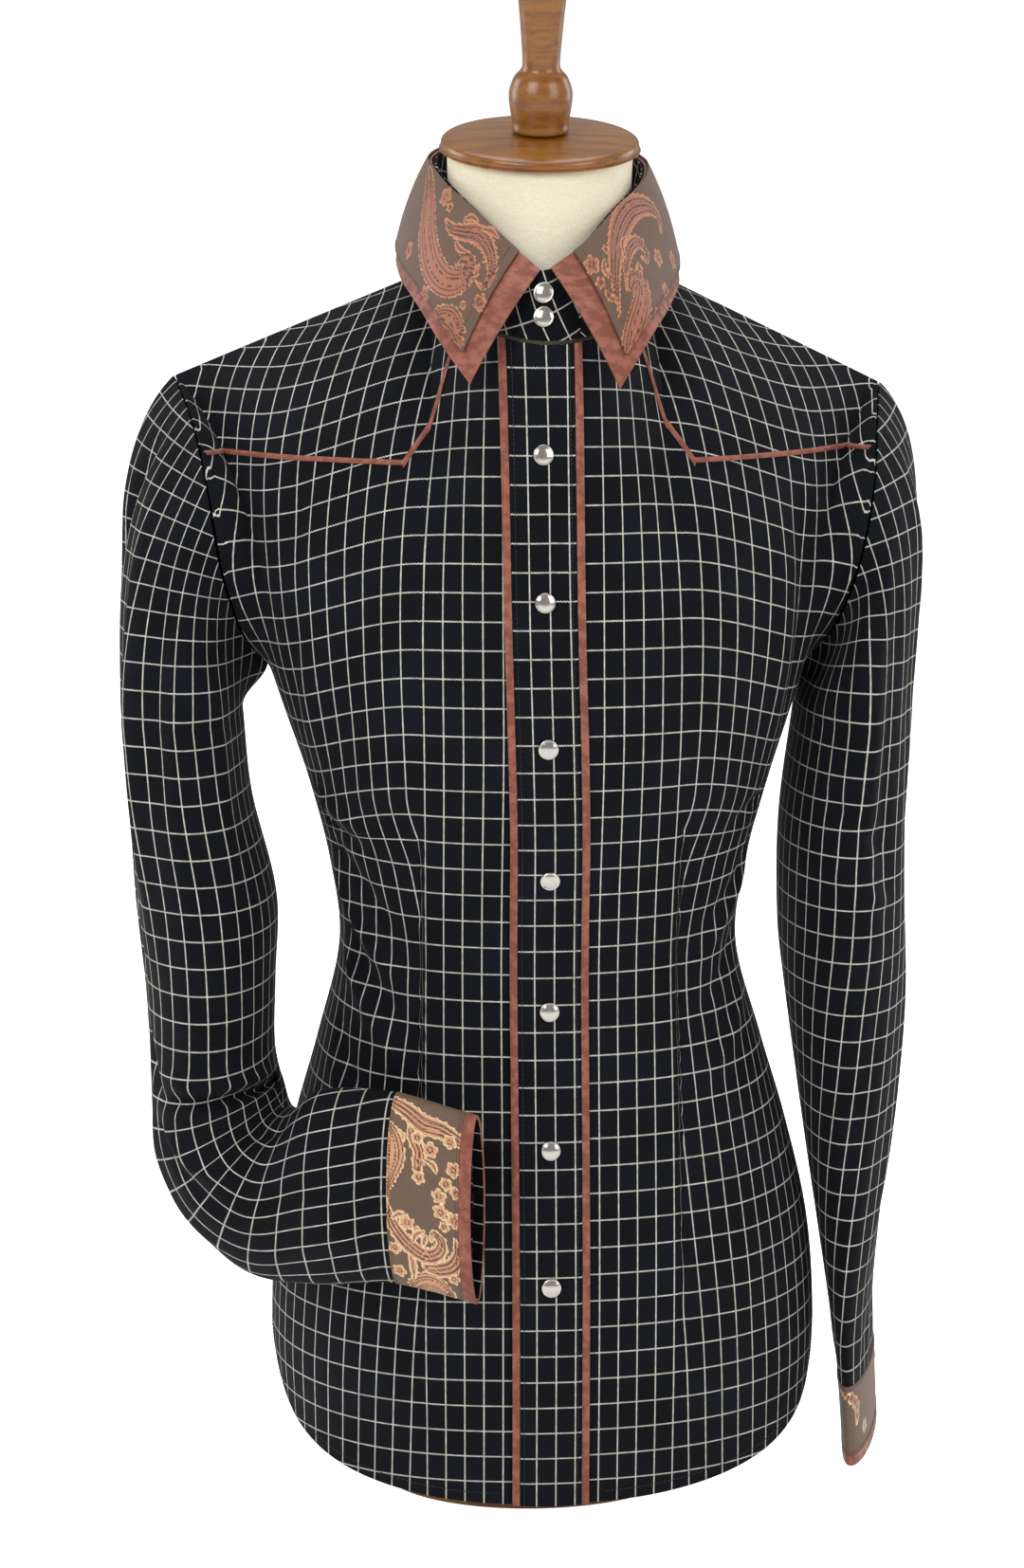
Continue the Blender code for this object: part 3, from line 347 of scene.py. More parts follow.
# --- the shirt's body surface ---------------------------------------------------------------------
def ring_points(side, face, share, height):
    """Points of a torso section from the centre (share 0) to the side seam (share 1)."""
    _, right, left, front, back = curve(TORSO, height)
    width = right if side < 0 else left
    depth = front if face < 0 else back
    angle = share * math.pi / 2
    full = 1 + SQUARENESS * np.sin(2 * angle) ** 2
    return np.stack([side * width * np.sin(angle) * full, face * depth * np.cos(angle) * full,
                     height + 0 * angle], -1)


def neck_points(angle, lift=0.0):
    """Points of the neckline at angles from the centre front over the wearer's right."""
    rise = np.abs(np.cos(angle))
    front = np.cos(angle) > 0
    y = np.where(front, NECK_FRONT.y, NECK_BACK.y)
    z = np.where(front, NECK_FRONT.z, NECK_BACK.z)
    return np.stack([-NECK_SIDE.x * np.sin(angle), NECK_SIDE.y + (y - NECK_SIDE.y) * rise,
                     NECK_SIDE.z + (z - NECK_SIDE.z) * rise + lift], -1)


def armhole_points(side, face, value, key=0):
    """Points of an armhole at values of its table's share (key 0) or turn (key 1)."""
    _, turn, right, left, front, back, height = curve(ARMHOLE, value, key)
    return np.stack([side * (right if side < 0 else left), front if face < 0 else back,
                     height - side * SHOULDER_SLANT * (1 - turn)], -1)


def top_points(side, face, share):
    """Upper edge of the body: neckline, shoulder seam and armhole."""
    quarter = np.clip(share / NECK_SHARE, 0, 1) * math.pi / 2
    neck = neck_points(-side * (quarter if face < 0 else math.pi - quarter))
    t = np.clip((share - NECK_SHARE) / (SHOULDER_SHARE - NECK_SHARE), 0, 1)[:, None]
    start = np.array([side * NECK_SIDE.x, NECK_SIDE.y, NECK_SIDE.z])
    tip = armhole_points(side, face, np.zeros(1))
    seam = start * (1 - t) + tip * t
    hole = armhole_points(side, face, (share - SHOULDER_SHARE) / (1 - SHOULDER_SHARE))
    share = share[:, None]
    return np.where(share <= NECK_SHARE, neck, np.where(share <= SHOULDER_SHARE, seam, hole))


Columns = namedtuple("Columns", "points lengths across height")
LOW_STEPS, HIGH_STEPS = 110, 110
TOP = 0.740                  # above the highest point of the body's cloth


def raw_columns(side, face, shares):
    """Lines of cloth up the body from the hem, at shares of a quarter's width."""
    hem = curve(HEM, shares)[1 if face < 0 else 2]
    heights = hem[:, None] + (ARMPIT - hem[:, None]) * np.linspace(0, 1, LOW_STEPS)
    low = ring_points(side, face, shares[:, None], heights)
    bottom, top = low[:, -1], top_points(side, face, shares)
    reach = np.linalg.norm(top - bottom, axis=1)[:, None]
    under = ring_points(side, face, shares, np.full(len(shares), ARMPIT - 0.01))
    climb = (bottom - under) / 0.01
    _, slope, outward = curve(LEAN, shares)
    level = np.stack([side * outward, -face * slope, 0 * slope], -1)
    size = np.linalg.norm(level, axis=1)[:, None]
    level *= np.minimum(1, STEEPEST_LEAN / np.maximum(size, 1e-6))
    up = np.sqrt(1 - (level ** 2).sum(axis=1))
    arrive = level + up[:, None] * np.array([0, 0, 1.0])
    t = np.linspace(0, 1, HIGH_STEPS)[1:, None, None]
    high = hermite(bottom, top, climb * reach, arrive * reach, t).transpose(1, 0, 2)
    return np.concatenate([low, high], axis=1)


@lru_cache(maxsize=None)
def width_lattice(side, face):
    """Level distance round the body from the centre, at 65 shares of the columns and all heights."""
    shares = np.linspace(0, 1, 65)
    heights = np.concatenate([np.linspace(0, ARMPIT, 60), np.linspace(ARMPIT, TOP, 90)[1:]])
    lines = raw_columns(side, face, shares)
    across = np.zeros((65, len(heights)))
    last, last_top = None, 0.0
    for row, line in enumerate(lines):
        climb = np.maximum.accumulate(line[:, 2])
        place = np.stack([np.interp(heights, climb, line[:, k]) for k in (0, 1)], -1)
        low = heights < climb[0]
        place[low] = ring_points(side, face, shares[row], heights[low])[:, :2]
        if row:
            shared = int(np.searchsorted(heights, min(climb[-1], last_top), side="right"))
            level = across[row - 1] + np.linalg.norm(place - last, axis=1)
            across[row] = np.where(np.arange(len(heights)) < shared, level, level[shared - 1])
        last, last_top = place, climb[-1]
    return heights, across


def columns(side, face, shares):
    """Lines of cloth up the body, with their lengths and the cloth's own coordinates."""
    shares = np.asarray(shares, float)
    points = raw_columns(side, face, shares)
    steps = np.linalg.norm(np.diff(points, axis=1), axis=2)
    lengths = np.concatenate([np.zeros((len(shares), 1)), steps.cumsum(axis=1)], axis=1)
    heights, lattice = width_lattice(side, face)
    across = np.empty(lengths.shape)
    for row, share in enumerate(shares):
        k = min(int(share * 64), 63)
        t = share * 64 - k
        across[row] = np.interp(points[row, :, 2], heights, lattice[k] * (1 - t) + lattice[k + 1] * t)
    height = points[..., 2].copy()
    climb = np.sqrt(np.maximum(steps ** 2 - np.diff(across, axis=1) ** 2, (0.4 * steps) ** 2))
    height[:, LOW_STEPS:] = ARMPIT + climb[:, LOW_STEPS - 1:].cumsum(axis=1)
    return Columns(points, lengths, across, height)


def resample(values, lengths, targets):
    """Values along each column at target lengths."""
    return np.array([np.interp(target, length, value)
                     for target, length, value in zip(targets, lengths, values)])


def check_coordinates(side, face, across, height):
    """Where the check lies on the body, with the darts' intake and the droop at the sides."""
    intake = curve(WAIST_DART, height)[1]
    beyond = smooth(across, WAIST_DART_AT[side] - 0.0012, WAIST_DART_AT[side] + 0.0012)
    u = across + intake * beyond
    side_share = smooth(across, 0.075, 0.180)
    above = smooth(height, BUST_DART_HEIGHT - 0.005, BUST_DART_HEIGHT + 0.012)
    drop = BUST_DART * side_share * above * (1.0 if face < 0 else 0.25)
    drop = drop + YOKE_DROOP * smooth(across, 0.05, 0.19) * smooth(height, 0.46, 0.66)
    return np.stack([side * u, height + drop], -1)


def skin(side, face, shares, low, high, rows, lift=0.0):
    """Grid on the shirt's body between two lengths of each column, with its cloth coordinates."""
    found = columns(side, face, shares)
    low, high = [np.broadcast_to(edge, len(found.lengths)) for edge in (low, high)]
    targets = low[:, None] + (high - low)[:, None] * np.linspace(0, 1, rows)
    points = np.stack([resample(found.points[..., axis], found.lengths, targets)
                       for axis in range(3)], -1)
    across = resample(found.across, found.lengths, targets)
    height = resample(found.height, found.lengths, targets)
    own = np.stack([side * across, height], -1)
    folds = relief(own, FRONT_FOLDS if face < 0 else BACK_FOLDS)
    dart = np.exp(-((across - WAIST_DART_AT[side]) / 0.0022) ** 2) \
        * smooth(curve(WAIST_DART, height)[1], 0.0005, 0.006)
    folds = folds - 0.0011 * dart * (1.0 if face < 0 else 0.6)
    keep = smooth(across, 0.024, 0.040) if face < 0 else 1.0
    normals = outward_normals(points, np.array([0, 0, ARMPIT - 0.05]))
    moved = points + normals * (folds * keep + lift)[..., None]
    return moved, check_coordinates(side, face, across, height)


def column_edges(side, face, shares):
    """Length of each column, and the length at which the yoke's lower edge crosses it."""
    found = columns(side, face, np.asarray(shares))
    climbing = np.maximum.accumulate(found.points[..., 2], axis=1)
    full = found.lengths[:, -1]

    def at_height(height):
        return np.array([np.interp(level, z, length)
                         for level, z, length in zip(height, climbing, found.lengths)])

    if face > 0:
        crossing = at_height(YOKE_LINE - BACK_YOKE_DIP * np.cos(shares * math.pi / 2))
    else:
        corner = yoke_corner(side)
        start = top_points(side, face, np.array([YOKE_TOP_SHARE]))[0, 2]
        t = np.clip((corner - shares) / (corner - YOKE_TOP_SHARE), 0, None)
        crossing = at_height(YOKE_LINE + (start - YOKE_LINE) * t)
        crossing = np.where(shares < YOKE_TOP_SHARE, full, crossing)
    return full, np.minimum(crossing, full)


@lru_cache(maxsize=None)
def yoke_corner(side):
    """Share of the column through the corner of a front yoke's edge."""
    shares = np.linspace(0.1, 0.7, 241)
    found = columns(side, -1, shares)
    x = np.array([np.interp(YOKE_LINE, z, px) for z, px in
                  zip(np.maximum.accumulate(found.points[..., 2], axis=1),
                      np.abs(found.points[..., 0]))])
    return float(np.interp(YOKE_CORNER, x, shares))


@lru_cache(maxsize=None)
def yoke_end(side, face):
    """Share of the column that meets the armhole at the height of the yoke's edge."""
    shares = np.linspace(SHOULDER_SHARE, 1, 400)
    heights = top_points(side, face, shares)[:, 2]
    return float(np.interp(-(YOKE_LINE + 0.003), -heights, shares))


# --- meshes -------------------------------------------------------------------------------------------
def cloth(name, points, uv, materials, closed=False, thickness=CLOTH, centre=None, ink=None,
          lined=True):
    """Cloth piece: outer grid, inner grid moved in by its thickness, and rims between them."""
    normals = outward_normals(points, centre, closed)
    across, up = points.shape[:2]
    inner = points - normals * thickness
    index = np.arange(across * up).reshape(across, up)
    quads = np.stack([index[:-1, :-1], index[1:, :-1], index[1:, 1:], index[:-1, 1:]], -1)
    quads = quads.reshape(-1, 4)
    probe = quads[len(quads) // 2]
    flat = points.reshape(-1, 3)
    turn = np.cross(flat[probe[1]] - flat[probe[0]], flat[probe[3]] - flat[probe[0]])
    if turn @ normals.reshape(-1, 3)[probe[0]] < 0:
        quads = quads[:, ::-1]
    count = across * up
    faces = [quads, quads[:, ::-1] + count] if lined else [quads]
    edges = [index[:, 0], index[:, -1]] + ([] if closed else [index[0, :], index[-1, :]])
    for edge in edges:
        rim = np.stack([edge[:-1], edge[1:], edge[1:] + count, edge[:-1] + count], -1)
        faces.append(rim)
    faces = np.concatenate(faces)
    mesh = bpy.data.meshes.new(name)
    mesh.from_pydata(np.concatenate([flat, inner.reshape(-1, 3)]).tolist(), [], faces.tolist())
    layer = mesh.uv_layers.new(name="cloth")
    both = np.concatenate([uv.reshape(-1, 2)] * 2)
    corners = np.empty(len(mesh.loops), int)
    mesh.loops.foreach_get("vertex_index", corners)
    layer.data.foreach_set("uv", both[corners].ravel())
    if ink is not None:
        colours = np.concatenate([ink.reshape(-1, 3)] * 2)
        colours = np.concatenate([colours, np.ones((len(colours), 1))], axis=1)
        attribute = mesh.color_attributes.new("ink", "FLOAT_COLOR", "POINT")
        attribute.data.foreach_set("color", colours.ravel())
    for material in materials:
        mesh.materials.append(material)
    if len(materials) > 1:
        slots = np.zeros(len(faces), int)
        slots[len(quads):2 * len(quads)] = 1
        mesh.polygons.foreach_set("material_index", slots)
    return settle(name, mesh)


SUFFIX = "_look"            # after the name of the CAD node that a piece stands for


def settle(name, mesh, sharp=55):
    """Object of a finished mesh, raised from the hem datum, with its faces outwards."""
    bm = bmesh.new()
    bm.from_mesh(mesh)
    bmesh.ops.remove_doubles(bm, verts=bm.verts, dist=1e-6)
    bmesh.ops.recalc_face_normals(bm, faces=bm.faces)
    bmesh.ops.translate(bm, verts=bm.verts, vec=(0, 0, CLEARANCE))
    bm.to_mesh(mesh)
    bm.free()
    mesh.shade_smooth()
    mesh.set_sharp_from_angle(angle=math.radians(sharp))
    piece = bpy.data.objects.new(name + SUFFIX, mesh)
    bpy.context.scene.collection.objects.link(piece)
    return piece


def turned(name, profile, sides, placing, material):
    """Solid turned round its axis from (radius, height) pairs that start and end on the axis."""
    profile = np.array(profile, float)
    angles = np.linspace(0, 2 * math.pi, sides, endpoint=False)
    verts, faces = [placing @ Vector((0, 0, profile[0, 1]))], []
    for radius, height in profile[1:-1]:
        verts += [placing @ Vector((radius * math.cos(a), radius * math.sin(a), height))
                  for a in angles]
    verts.append(placing @ Vector((0, 0, profile[-1, 1])))
    last = len(verts) - 1
    rings = len(profile) - 2
    for c in range(sides):
        n = (c + 1) % sides
        faces.append((0, 1 + n, 1 + c))
        faces.append((last, last - sides + c, last - sides + n))
        for r in range(rings - 1):
            low, high = 1 + r * sides, 1 + (r + 1) * sides
            faces.append((low + c, low + n, high + n, high + c))
    mesh = bpy.data.meshes.new(name)
    mesh.from_pydata([tuple(v) for v in verts], [], faces)
    mesh.materials.append(material)
    return settle(name, mesh, 40)


def rounded(profile, steps=5):
    """Turned profile with smooth curves through its rows."""
    profile = np.array(profile, float)
    order = np.arange(len(profile))
    low, high = np.maximum(order - 1, 0), np.minimum(order + 1, len(profile) - 1)
    slope = (profile[high] - profile[low]) / 2
    points = [profile[0]]
    for k in range(1, len(profile) - 2):
        for t in np.linspace(0, 1, steps, endpoint=False):
            points.append(hermite(profile[k], profile[k + 1], slope[k] * 0.8, slope[k + 1] * 0.8, t))
    points += [profile[-2], profile[-1]]
    return [(max(radius, 0.0), height) for radius, height in points]


def ready(piece, slot, *nodes):
    """Piece that rides on the one body, with the CAD nodes it stands for hidden. Its slot is not used.
    """
    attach(piece, "root")
    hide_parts(*(nodes or (piece.name.removesuffix(SUFFIX),)))
    return piece


# --- materials ------------------------------------------------------------------------------------
MATH, MIX, RANGE = "ShaderNodeMath", "ShaderNodeMix", "ShaderNodeMapRange"
# what the nodes of a kind share here: their inputs in order, their output and their settings
USUAL = {
    MIX: (("Factor", "A", "B"), "Result", {"data_type": "RGBA"}),
    RANGE: (("Value", "From Min", "From Max", "To Min", "To Max"), "Result",
            {"interpolation_type": "SMOOTHSTEP"}),
}
ZIGZAG_PITCH = 0.0016        # steps of the twill in the level lines
ZIGZAG_RISE = 0.55           # how far the level lines climb over each step
CHECK_START = (0.0, 0.003)   # where the first lines lie
LINE_EDGE = (0.55, 1.35)     # soft edge of a line, in shares of its half width
TWILL_PITCH = 0.0009         # wales are 0.5 mm apart in the real cloth, drawn coarser so they show
RIB_PITCH = 0.0008           # a brocade's ribs are 0.4 mm apart in the real cloth, drawn coarser


def linear(code):
    """Linear colour of an sRGB hex value."""
    parts = [int(code[k:k + 2], 16) / 255 for k in (1, 3, 5)]
    return tuple(p / 12.92 if p <= 0.04045 else ((p + 0.055) / 1.055) ** 2.4
                 for p in parts) + (1.0,)


def add(tree, kind, values=(), out=0, **settings):
    """Adds a node with its settings and the values or links of its inputs, and gives an output."""
    names, out, usual = USUAL.get(kind, (range(len(values)), out, {}))
    made = tree.nodes.new(kind)
    for key, value in {**usual, **settings}.items():
        setattr(made, key, value)
    for key, value in (values if isinstance(values, dict) else dict(zip(names, values))).items():
        if isinstance(value, bpy.types.NodeSocket):
            tree.links.new(value, made.inputs[key])
        else:
            made.inputs[key].default_value = value
    return made.outputs[out] if made.outputs else None


def begin(name, **constants):
    """New material with its shader, whose constants are set on its own sockets."""
    material = bpy.data.materials.new(name)
    material.use_nodes = True
    shader = material.node_tree.nodes["Principled BSDF"]
    for key, value in constants.items():
        shader.inputs[key.replace("_", " ")].default_value = value
    return material, material.node_tree, shader


def complete(tree, shader, colour, roughness=None, height=None, depth=0.0):
    """Links a material's colour and roughness, and lays a relief of a depth in metres on it."""
    tree.links.new(colour, shader.inputs["Base Color"])
    if roughness is not None:
        tree.links.new(roughness, shader.inputs["Roughness"])
    if height is not None:
        relief_normal = add(tree, "ShaderNodeBump",
                            {"Height": height, "Distance": depth, "Strength": 1.0}, "Normal")
        tree.links.new(relief_normal, shader.inputs["Normal"])


def cloth_axes(tree):
    """The cloth's own coordinates in metres: both as a vector, across and up."""
    both = add(tree, "ShaderNodeUVMap", out="UV", uv_map="cloth")
    parts = add(tree, "ShaderNodeSeparateXYZ", (both,)).node.outputs
    return both, parts["X"], parts["Y"]


def grain(tree, place, pitch, detail=2.0, stretch=(1.0, 1.0, 1.0)):
    """Soft uneven grain a pitch in metres across."""
    scaled = add(tree, "ShaderNodeMapping", {"Vector": place, "Scale": stretch})
    return add(tree, "ShaderNodeTexNoise", {"Vector": scaled, "Scale": 1.0 / pitch,
                                            "Detail": detail}, "Fac")


def ribs(tree, place, pitch):
    """Even ribs a pitch in metres apart, from -1 to 1."""
    turns = add(tree, MATH, (place, 2 * math.pi / pitch), operation="MULTIPLY")
    return add(tree, MATH, (turns,), operation="SINE")


def check_twill(sizes):
    """Cotton twill, yarn-dyed near-black navy with a window-pane check of fine off-white yarns.

    It gives the eye a flat dark cloth that swallows light, with crisp thin lines that show every
    bend, the level ones finely zigzagged where the twill steps over them.
    """
    material, tree, shader = begin("cotton_check_twill", Roughness=0.75, Sheen_Weight=0.02,
                                   Sheen_Roughness=0.4, Specular_IOR_Level=0.13)
    both, across, up = cloth_axes(tree)
    zigzag = add(tree, MATH, (across, ZIGZAG_PITCH / 2), operation="PINGPONG")
    rise = add(tree, MATH, (zigzag, ZIGZAG_RISE), operation="MULTIPLY")
    level = add(tree, MATH, (up, rise), operation="ADD")
    lines = []
    for place, cell, start in ((across, sizes.cell_width, CHECK_START[0]),
                               (level, sizes.cell_height, CHECK_START[1])):
        moved = add(tree, MATH, (place, start), operation="ADD")
        cells = add(tree, MATH, (moved, cell), operation="DIVIDE")
        within = add(tree, MATH, (cells,), operation="FRACT")
        middle = add(tree, MATH, (within, 0.5), operation="SUBTRACT")
        away = add(tree, MATH, (middle,), operation="ABSOLUTE")
        half = sizes.line_width / 2 / cell
        lines.append(add(tree, RANGE, (away, half * LINE_EDGE[0], half * LINE_EDGE[1], 1.0, 0.0)))
    worn = add(tree, RANGE, (grain(tree, both, 0.0045, 3.0), 0.25, 0.75, 0.72, 1.0))
    line = add(tree, MATH, lines, operation="MAXIMUM")
    line = add(tree, MATH, (line, worn), operation="MULTIPLY")
    shade = add(tree, RANGE, (grain(tree, both, 0.05), 0.3, 0.7, 0.0, 1.0))
    ground = add(tree, MIX, (shade, linear("#06080c"), linear("#0b1018")))
    yarn = add(tree, MIX, (worn, linear("#8c8b86"), linear("#dedbd0")))
    colour = add(tree, MIX, (line, ground, yarn))
    climb = add(tree, MATH, (up, 0.7), operation="MULTIPLY")
    wales = ribs(tree, add(tree, MATH, (across, climb), operation="ADD"), TWILL_PITCH)
    raised = add(tree, MATH, (line, 1.5), operation="MULTIPLY")
    complete(tree, shader, colour, None, add(tree, MATH, (wales, raised), operation="ADD"), 0.00008)
    return material


def rust_brocade(sizes):
    """Silky rust brocade: a satin ground with small figures woven in a duller, darker weft.

    It gives the eye a warm terracotta that changes from matt to a soft shine within a few
    millimetres.
    """
    material, tree, shader = begin("rust_satin_brocade", Sheen_Weight=0.25, Sheen_Roughness=0.4)
    both, _, up = cloth_axes(tree)
    cells = add(tree, "ShaderNodeTexVoronoi", {"Vector": both, "Scale": 1 / 0.0055}, "Distance",
                feature="SMOOTH_F1")
    mottled = add(tree, MATH, (cells, grain(tree, both, 0.0032, 3.0)), operation="ADD")
    figure = add(tree, RANGE, (mottled, 0.72, 1.12, 0.0, 1.0))
    soft = add(tree, RANGE, (grain(tree, both, 0.02), 0.3, 0.7, 0.0, 0.5))
    ground = add(tree, MIX, (soft, sizes.rust, linear("#a8634e")))
    share = add(tree, MATH, (figure, 0.62), operation="MULTIPLY")
    colour = add(tree, MIX, (share, ground, linear("#6a3526")))
    roughness = add(tree, RANGE, (figure, 0.0, 1.0, 0.42, 0.66))
    ribbed = add(tree, MATH, (ribs(tree, up, RIB_PITCH), 0.4), operation="MULTIPLY")
    height = add(tree, MATH, (ribbed, figure), operation="ADD")
    complete(tree, shader, colour, roughness, height, 0.00012)
    return material


def paisley_brocade(name, ground, figure, light, dark):
    """Jacquard brocade: paisley woven in silky copper weft over a ribbed brown ground.

    It gives the eye shining figures with a fine light outline and dark inner veins, and a ground
    of close ribs that stays duller.
    """
    material, tree, shader = begin(name, Sheen_Weight=0.15, Sheen_Roughness=0.4)
    both, _, up = cloth_axes(tree)
    ink = add(tree, "ShaderNodeVertexColor", out="Color", layer_name="ink")
    parts = add(tree, "ShaderNodeSeparateColor", (ink,)).node.outputs
    body, edge, vein = [add(tree, RANGE, (parts[k], low, low + 0.45, 0.0, 1.0))
                        for k, low in enumerate((0.25, 0.15, 0.08))]
    shade = add(tree, RANGE, (grain(tree, both, 0.012), 0.3, 0.7, 0.0, 0.35))
    colour = add(tree, MIX, (shade, ground, linear("#5a4436")))
    for share, weft in ((body, figure), (edge, light), (vein, dark)):
        colour = add(tree, MIX, (share, colour, weft))
    roughness = add(tree, RANGE, (body, 0.0, 1.0, 0.62, 0.42))
    ribbed = add(tree, MATH, (ribs(tree, up, RIB_PITCH), 0.3), operation="MULTIPLY")
    raised = add(tree, MATH, (body, vein), operation="SUBTRACT")
    height = add(tree, MATH, (ribbed, raised), operation="ADD")
    complete(tree, shader, colour, roughness, height, 0.00012)
    return material


def linen_cover(sizes):
    """Washed cream linen stretched over a moulded form.

    It gives the eye a matt warm white with uneven threads a little darker and thicker than the rest.
    """
    material, tree, shader = begin("cream_linen", Roughness=0.9, Sheen_Weight=0.15,
                                   Specular_IOR_Level=0.2)
    place = add(tree, "ShaderNodeTexCoord", out="Object")
    slub = grain(tree, place, 0.006, 3.0, (1.0, 1.0, 9.0))
    warp = grain(tree, place, 0.006, 3.0, (9.0, 9.0, 1.0))
    total = add(tree, MATH, (slub, warp), operation="ADD")
    weave = add(tree, MATH, (total, 0.5), operation="MULTIPLY")
    stain = add(tree, RANGE, (grain(tree, place, 0.05), 0.35, 0.75, 0.0, 0.6))
    thick = add(tree, RANGE, (weave, 0.35, 0.65, 0.0, 1.0))
    colour = add(tree, MIX, (thick, sizes.linen, linear("#f4ecd6")))
    share = add(tree, MATH, (stain, 0.35), operation="MULTIPLY")
    colour = add(tree, MIX, (share, colour, linear("#d8ca9f")))
    complete(tree, shader, colour, None, weave, 0.0003)
    return material


def varnished_wood(sizes):
    """Turned beech, stained walnut brown under satin varnish.

    It gives the eye streaked golden brown, darker in the grain, with a broad soft highlight.
    """
    material, tree, shader = begin("stained_varnished_beech", Roughness=0.32, Coat_Weight=0.35,
                                   Coat_Roughness=0.18)
    place = add(tree, "ShaderNodeTexCoord", out="Object")
    broad = grain(tree, place, 0.012, 5.0, (0.25, 2.2, 3.0))
    fine = grain(tree, place, 0.0035, 3.0, (0.15, 2.0, 3.5))
    most = add(tree, MATH, (broad, 0.7), operation="MULTIPLY")
    rest = add(tree, MATH, (fine, 0.3), operation="MULTIPLY")
    tone = add(tree, MATH, (most, rest), operation="ADD")
    share = add(tree, RANGE, (tone, 0.26, 0.66, 0.0, 1.0))
    colour = add(tree, MIX, (share, linear("#6b3a12"), sizes.wood))
    complete(tree, shader, colour, None, fine, 0.0001)
    return material


def nickel_silver(sizes):
    """Polished nickel-silver snap caps, pressed from sheet.

    It gives the eye a bright grey mirror with a slightly brushed face and a clean rim.
    """
    material, tree, shader = begin("polished_nickel_silver", Metallic=1.0)
    place = add(tree, "ShaderNodeTexCoord", out="Object")
    scuff = grain(tree, place, 0.0012, 3.0, (1.0, 1.0, 6.0))
    colour = add(tree, MIX, (scuff, linear("#b9b2a8"), linear("#e2ddd6")))
    complete(tree, shader, colour, add(tree, RANGE, (scuff, 0.3, 0.7, 0.10, 0.20)))
    return material


def sewing_thread(name, code):
    """Twisted sewing thread, which gives the eye a fine broken line with a slight sheen."""
    material, tree, shader = begin(name, Roughness=0.55, Sheen_Weight=0.1)
    place = add(tree, "ShaderNodeTexCoord", out="Object")
    complete(tree, shader, add(tree, MIX, (grain(tree, place, 0.004), linear(code),
                                              linear("#26282c"))))
    return material


def looks():
    """All materials by their short names, each made on first use."""
    sizes = bpy.context.scene.shirt_sizes
    table = {
        "check": ("cotton_check_twill", lambda: check_twill(sizes)),
        "rust": ("rust_satin_brocade", lambda: rust_brocade(sizes)),
        "collar": ("paisley_brocade_collar", lambda: paisley_brocade(
            "paisley_brocade_collar", linear("#654c3b"), linear("#a4644a"), linear("#c98a60"),
            linear("#50301f"))),
        "cuff": ("paisley_brocade_cuff", lambda: paisley_brocade(
            "paisley_brocade_cuff", linear("#6d5645"), linear("#cf9a74"), linear("#f0cf9f"),
            linear("#6b3d2b"))),
        "linen": ("cream_linen", lambda: linen_cover(sizes)),
        "wood": ("stained_varnished_beech", lambda: varnished_wood(sizes)),
        "snap": ("polished_nickel_silver", lambda: nickel_silver(sizes)),
        "dark_thread": ("navy_thread", lambda: sewing_thread("navy_thread", "#0c1016")),
        "rust_thread": ("rust_thread", lambda: sewing_thread("rust_thread", "#7a4633")),
    }
    return {key: bpy.data.materials.get(name) or make() for key, (name, make) in table.items()}


# --- pieces of the body ---------------------------------------------------------------------------
PANEL_ROWS = 190


def panel_shares(start, end, count, *marks):
    """Shares of a piece's columns, with its marks among them."""
    shares = np.concatenate([np.linspace(start, end, count), marks])
    return np.unique(np.round(shares[(shares >= start) & (shares <= end)], 5))


def edge_slant(side, face, shares, crossing):
    """Length up a column for each unit across the yoke's edge."""
    found = columns(side, face, shares)
    place = np.stack([resample(found.points[..., k], found.lengths, crossing[:, None])[:, 0]
                      for k in range(3)], -1)
    below = np.stack([resample(found.points[..., k], found.lengths, crossing[:, None] - 0.002)[:, 0]
                      for k in range(3)], -1)
    edge, up = unit(np.gradient(place, axis=0)), unit(place - below)
    sine = np.linalg.norm(np.cross(edge, up), axis=1)
    return 1 / np.maximum(sine, 0.3)


def front_panel(side, name, material):
    """One front, from the hem to its yoke, neckline and armhole."""
    shares = panel_shares(0.0005, 1.0, 92, YOKE_TOP_SHARE, yoke_corner(side), yoke_end(side, -1))
    full, crossing = column_edges(side, -1, shares)
    inside = (shares >= YOKE_TOP_SHARE) & (shares <= yoke_end(side, -1))
    top = np.where(inside, np.minimum(crossing + 0.002, full - 0.0004), full - 0.0004)
    points, uv = skin(side, -1, shares, 0.0, top, PANEL_ROWS)
    return cloth(name, points, uv, [material], centre=BODY_CENTRE)


def back_panel(material):
    """The back, from the hem to its yoke and the armholes."""
    halves = []
    for side in (-1, 1):
        shares = panel_shares(0.0, 1.0, 52, yoke_end(side, 1))
        full, crossing = column_edges(side, 1, shares)
        top = np.where(shares <= yoke_end(side, 1), np.minimum(crossing + 0.002, full - 0.0004),
                       full - 0.0004)
        halves.append(skin(side, 1, shares, 0.0, top, PANEL_ROWS))
    points, uv = [np.concatenate([halves[0][k][:0:-1], halves[1][k]]) for k in (0, 1)]
    return cloth("back", points, uv, [material], centre=BODY_CENTRE)


def yoke(side, face, count, rows=70):
    """Grid of a yoke between its piped edge and the shoulder seam."""
    start = YOKE_TOP_SHARE if face < 0 else 0.0
    marks = [yoke_corner(side), SHOULDER_SHARE, NECK_SHARE] if face < 0 else [SHOULDER_SHARE]
    shares = panel_shares(start, yoke_end(side, face), count, *marks)
    full, crossing = column_edges(side, face, shares)
    low = np.minimum(crossing, full - 0.0012)
    return skin(side, face, shares, low, full - 0.0003, rows, 0.0007)


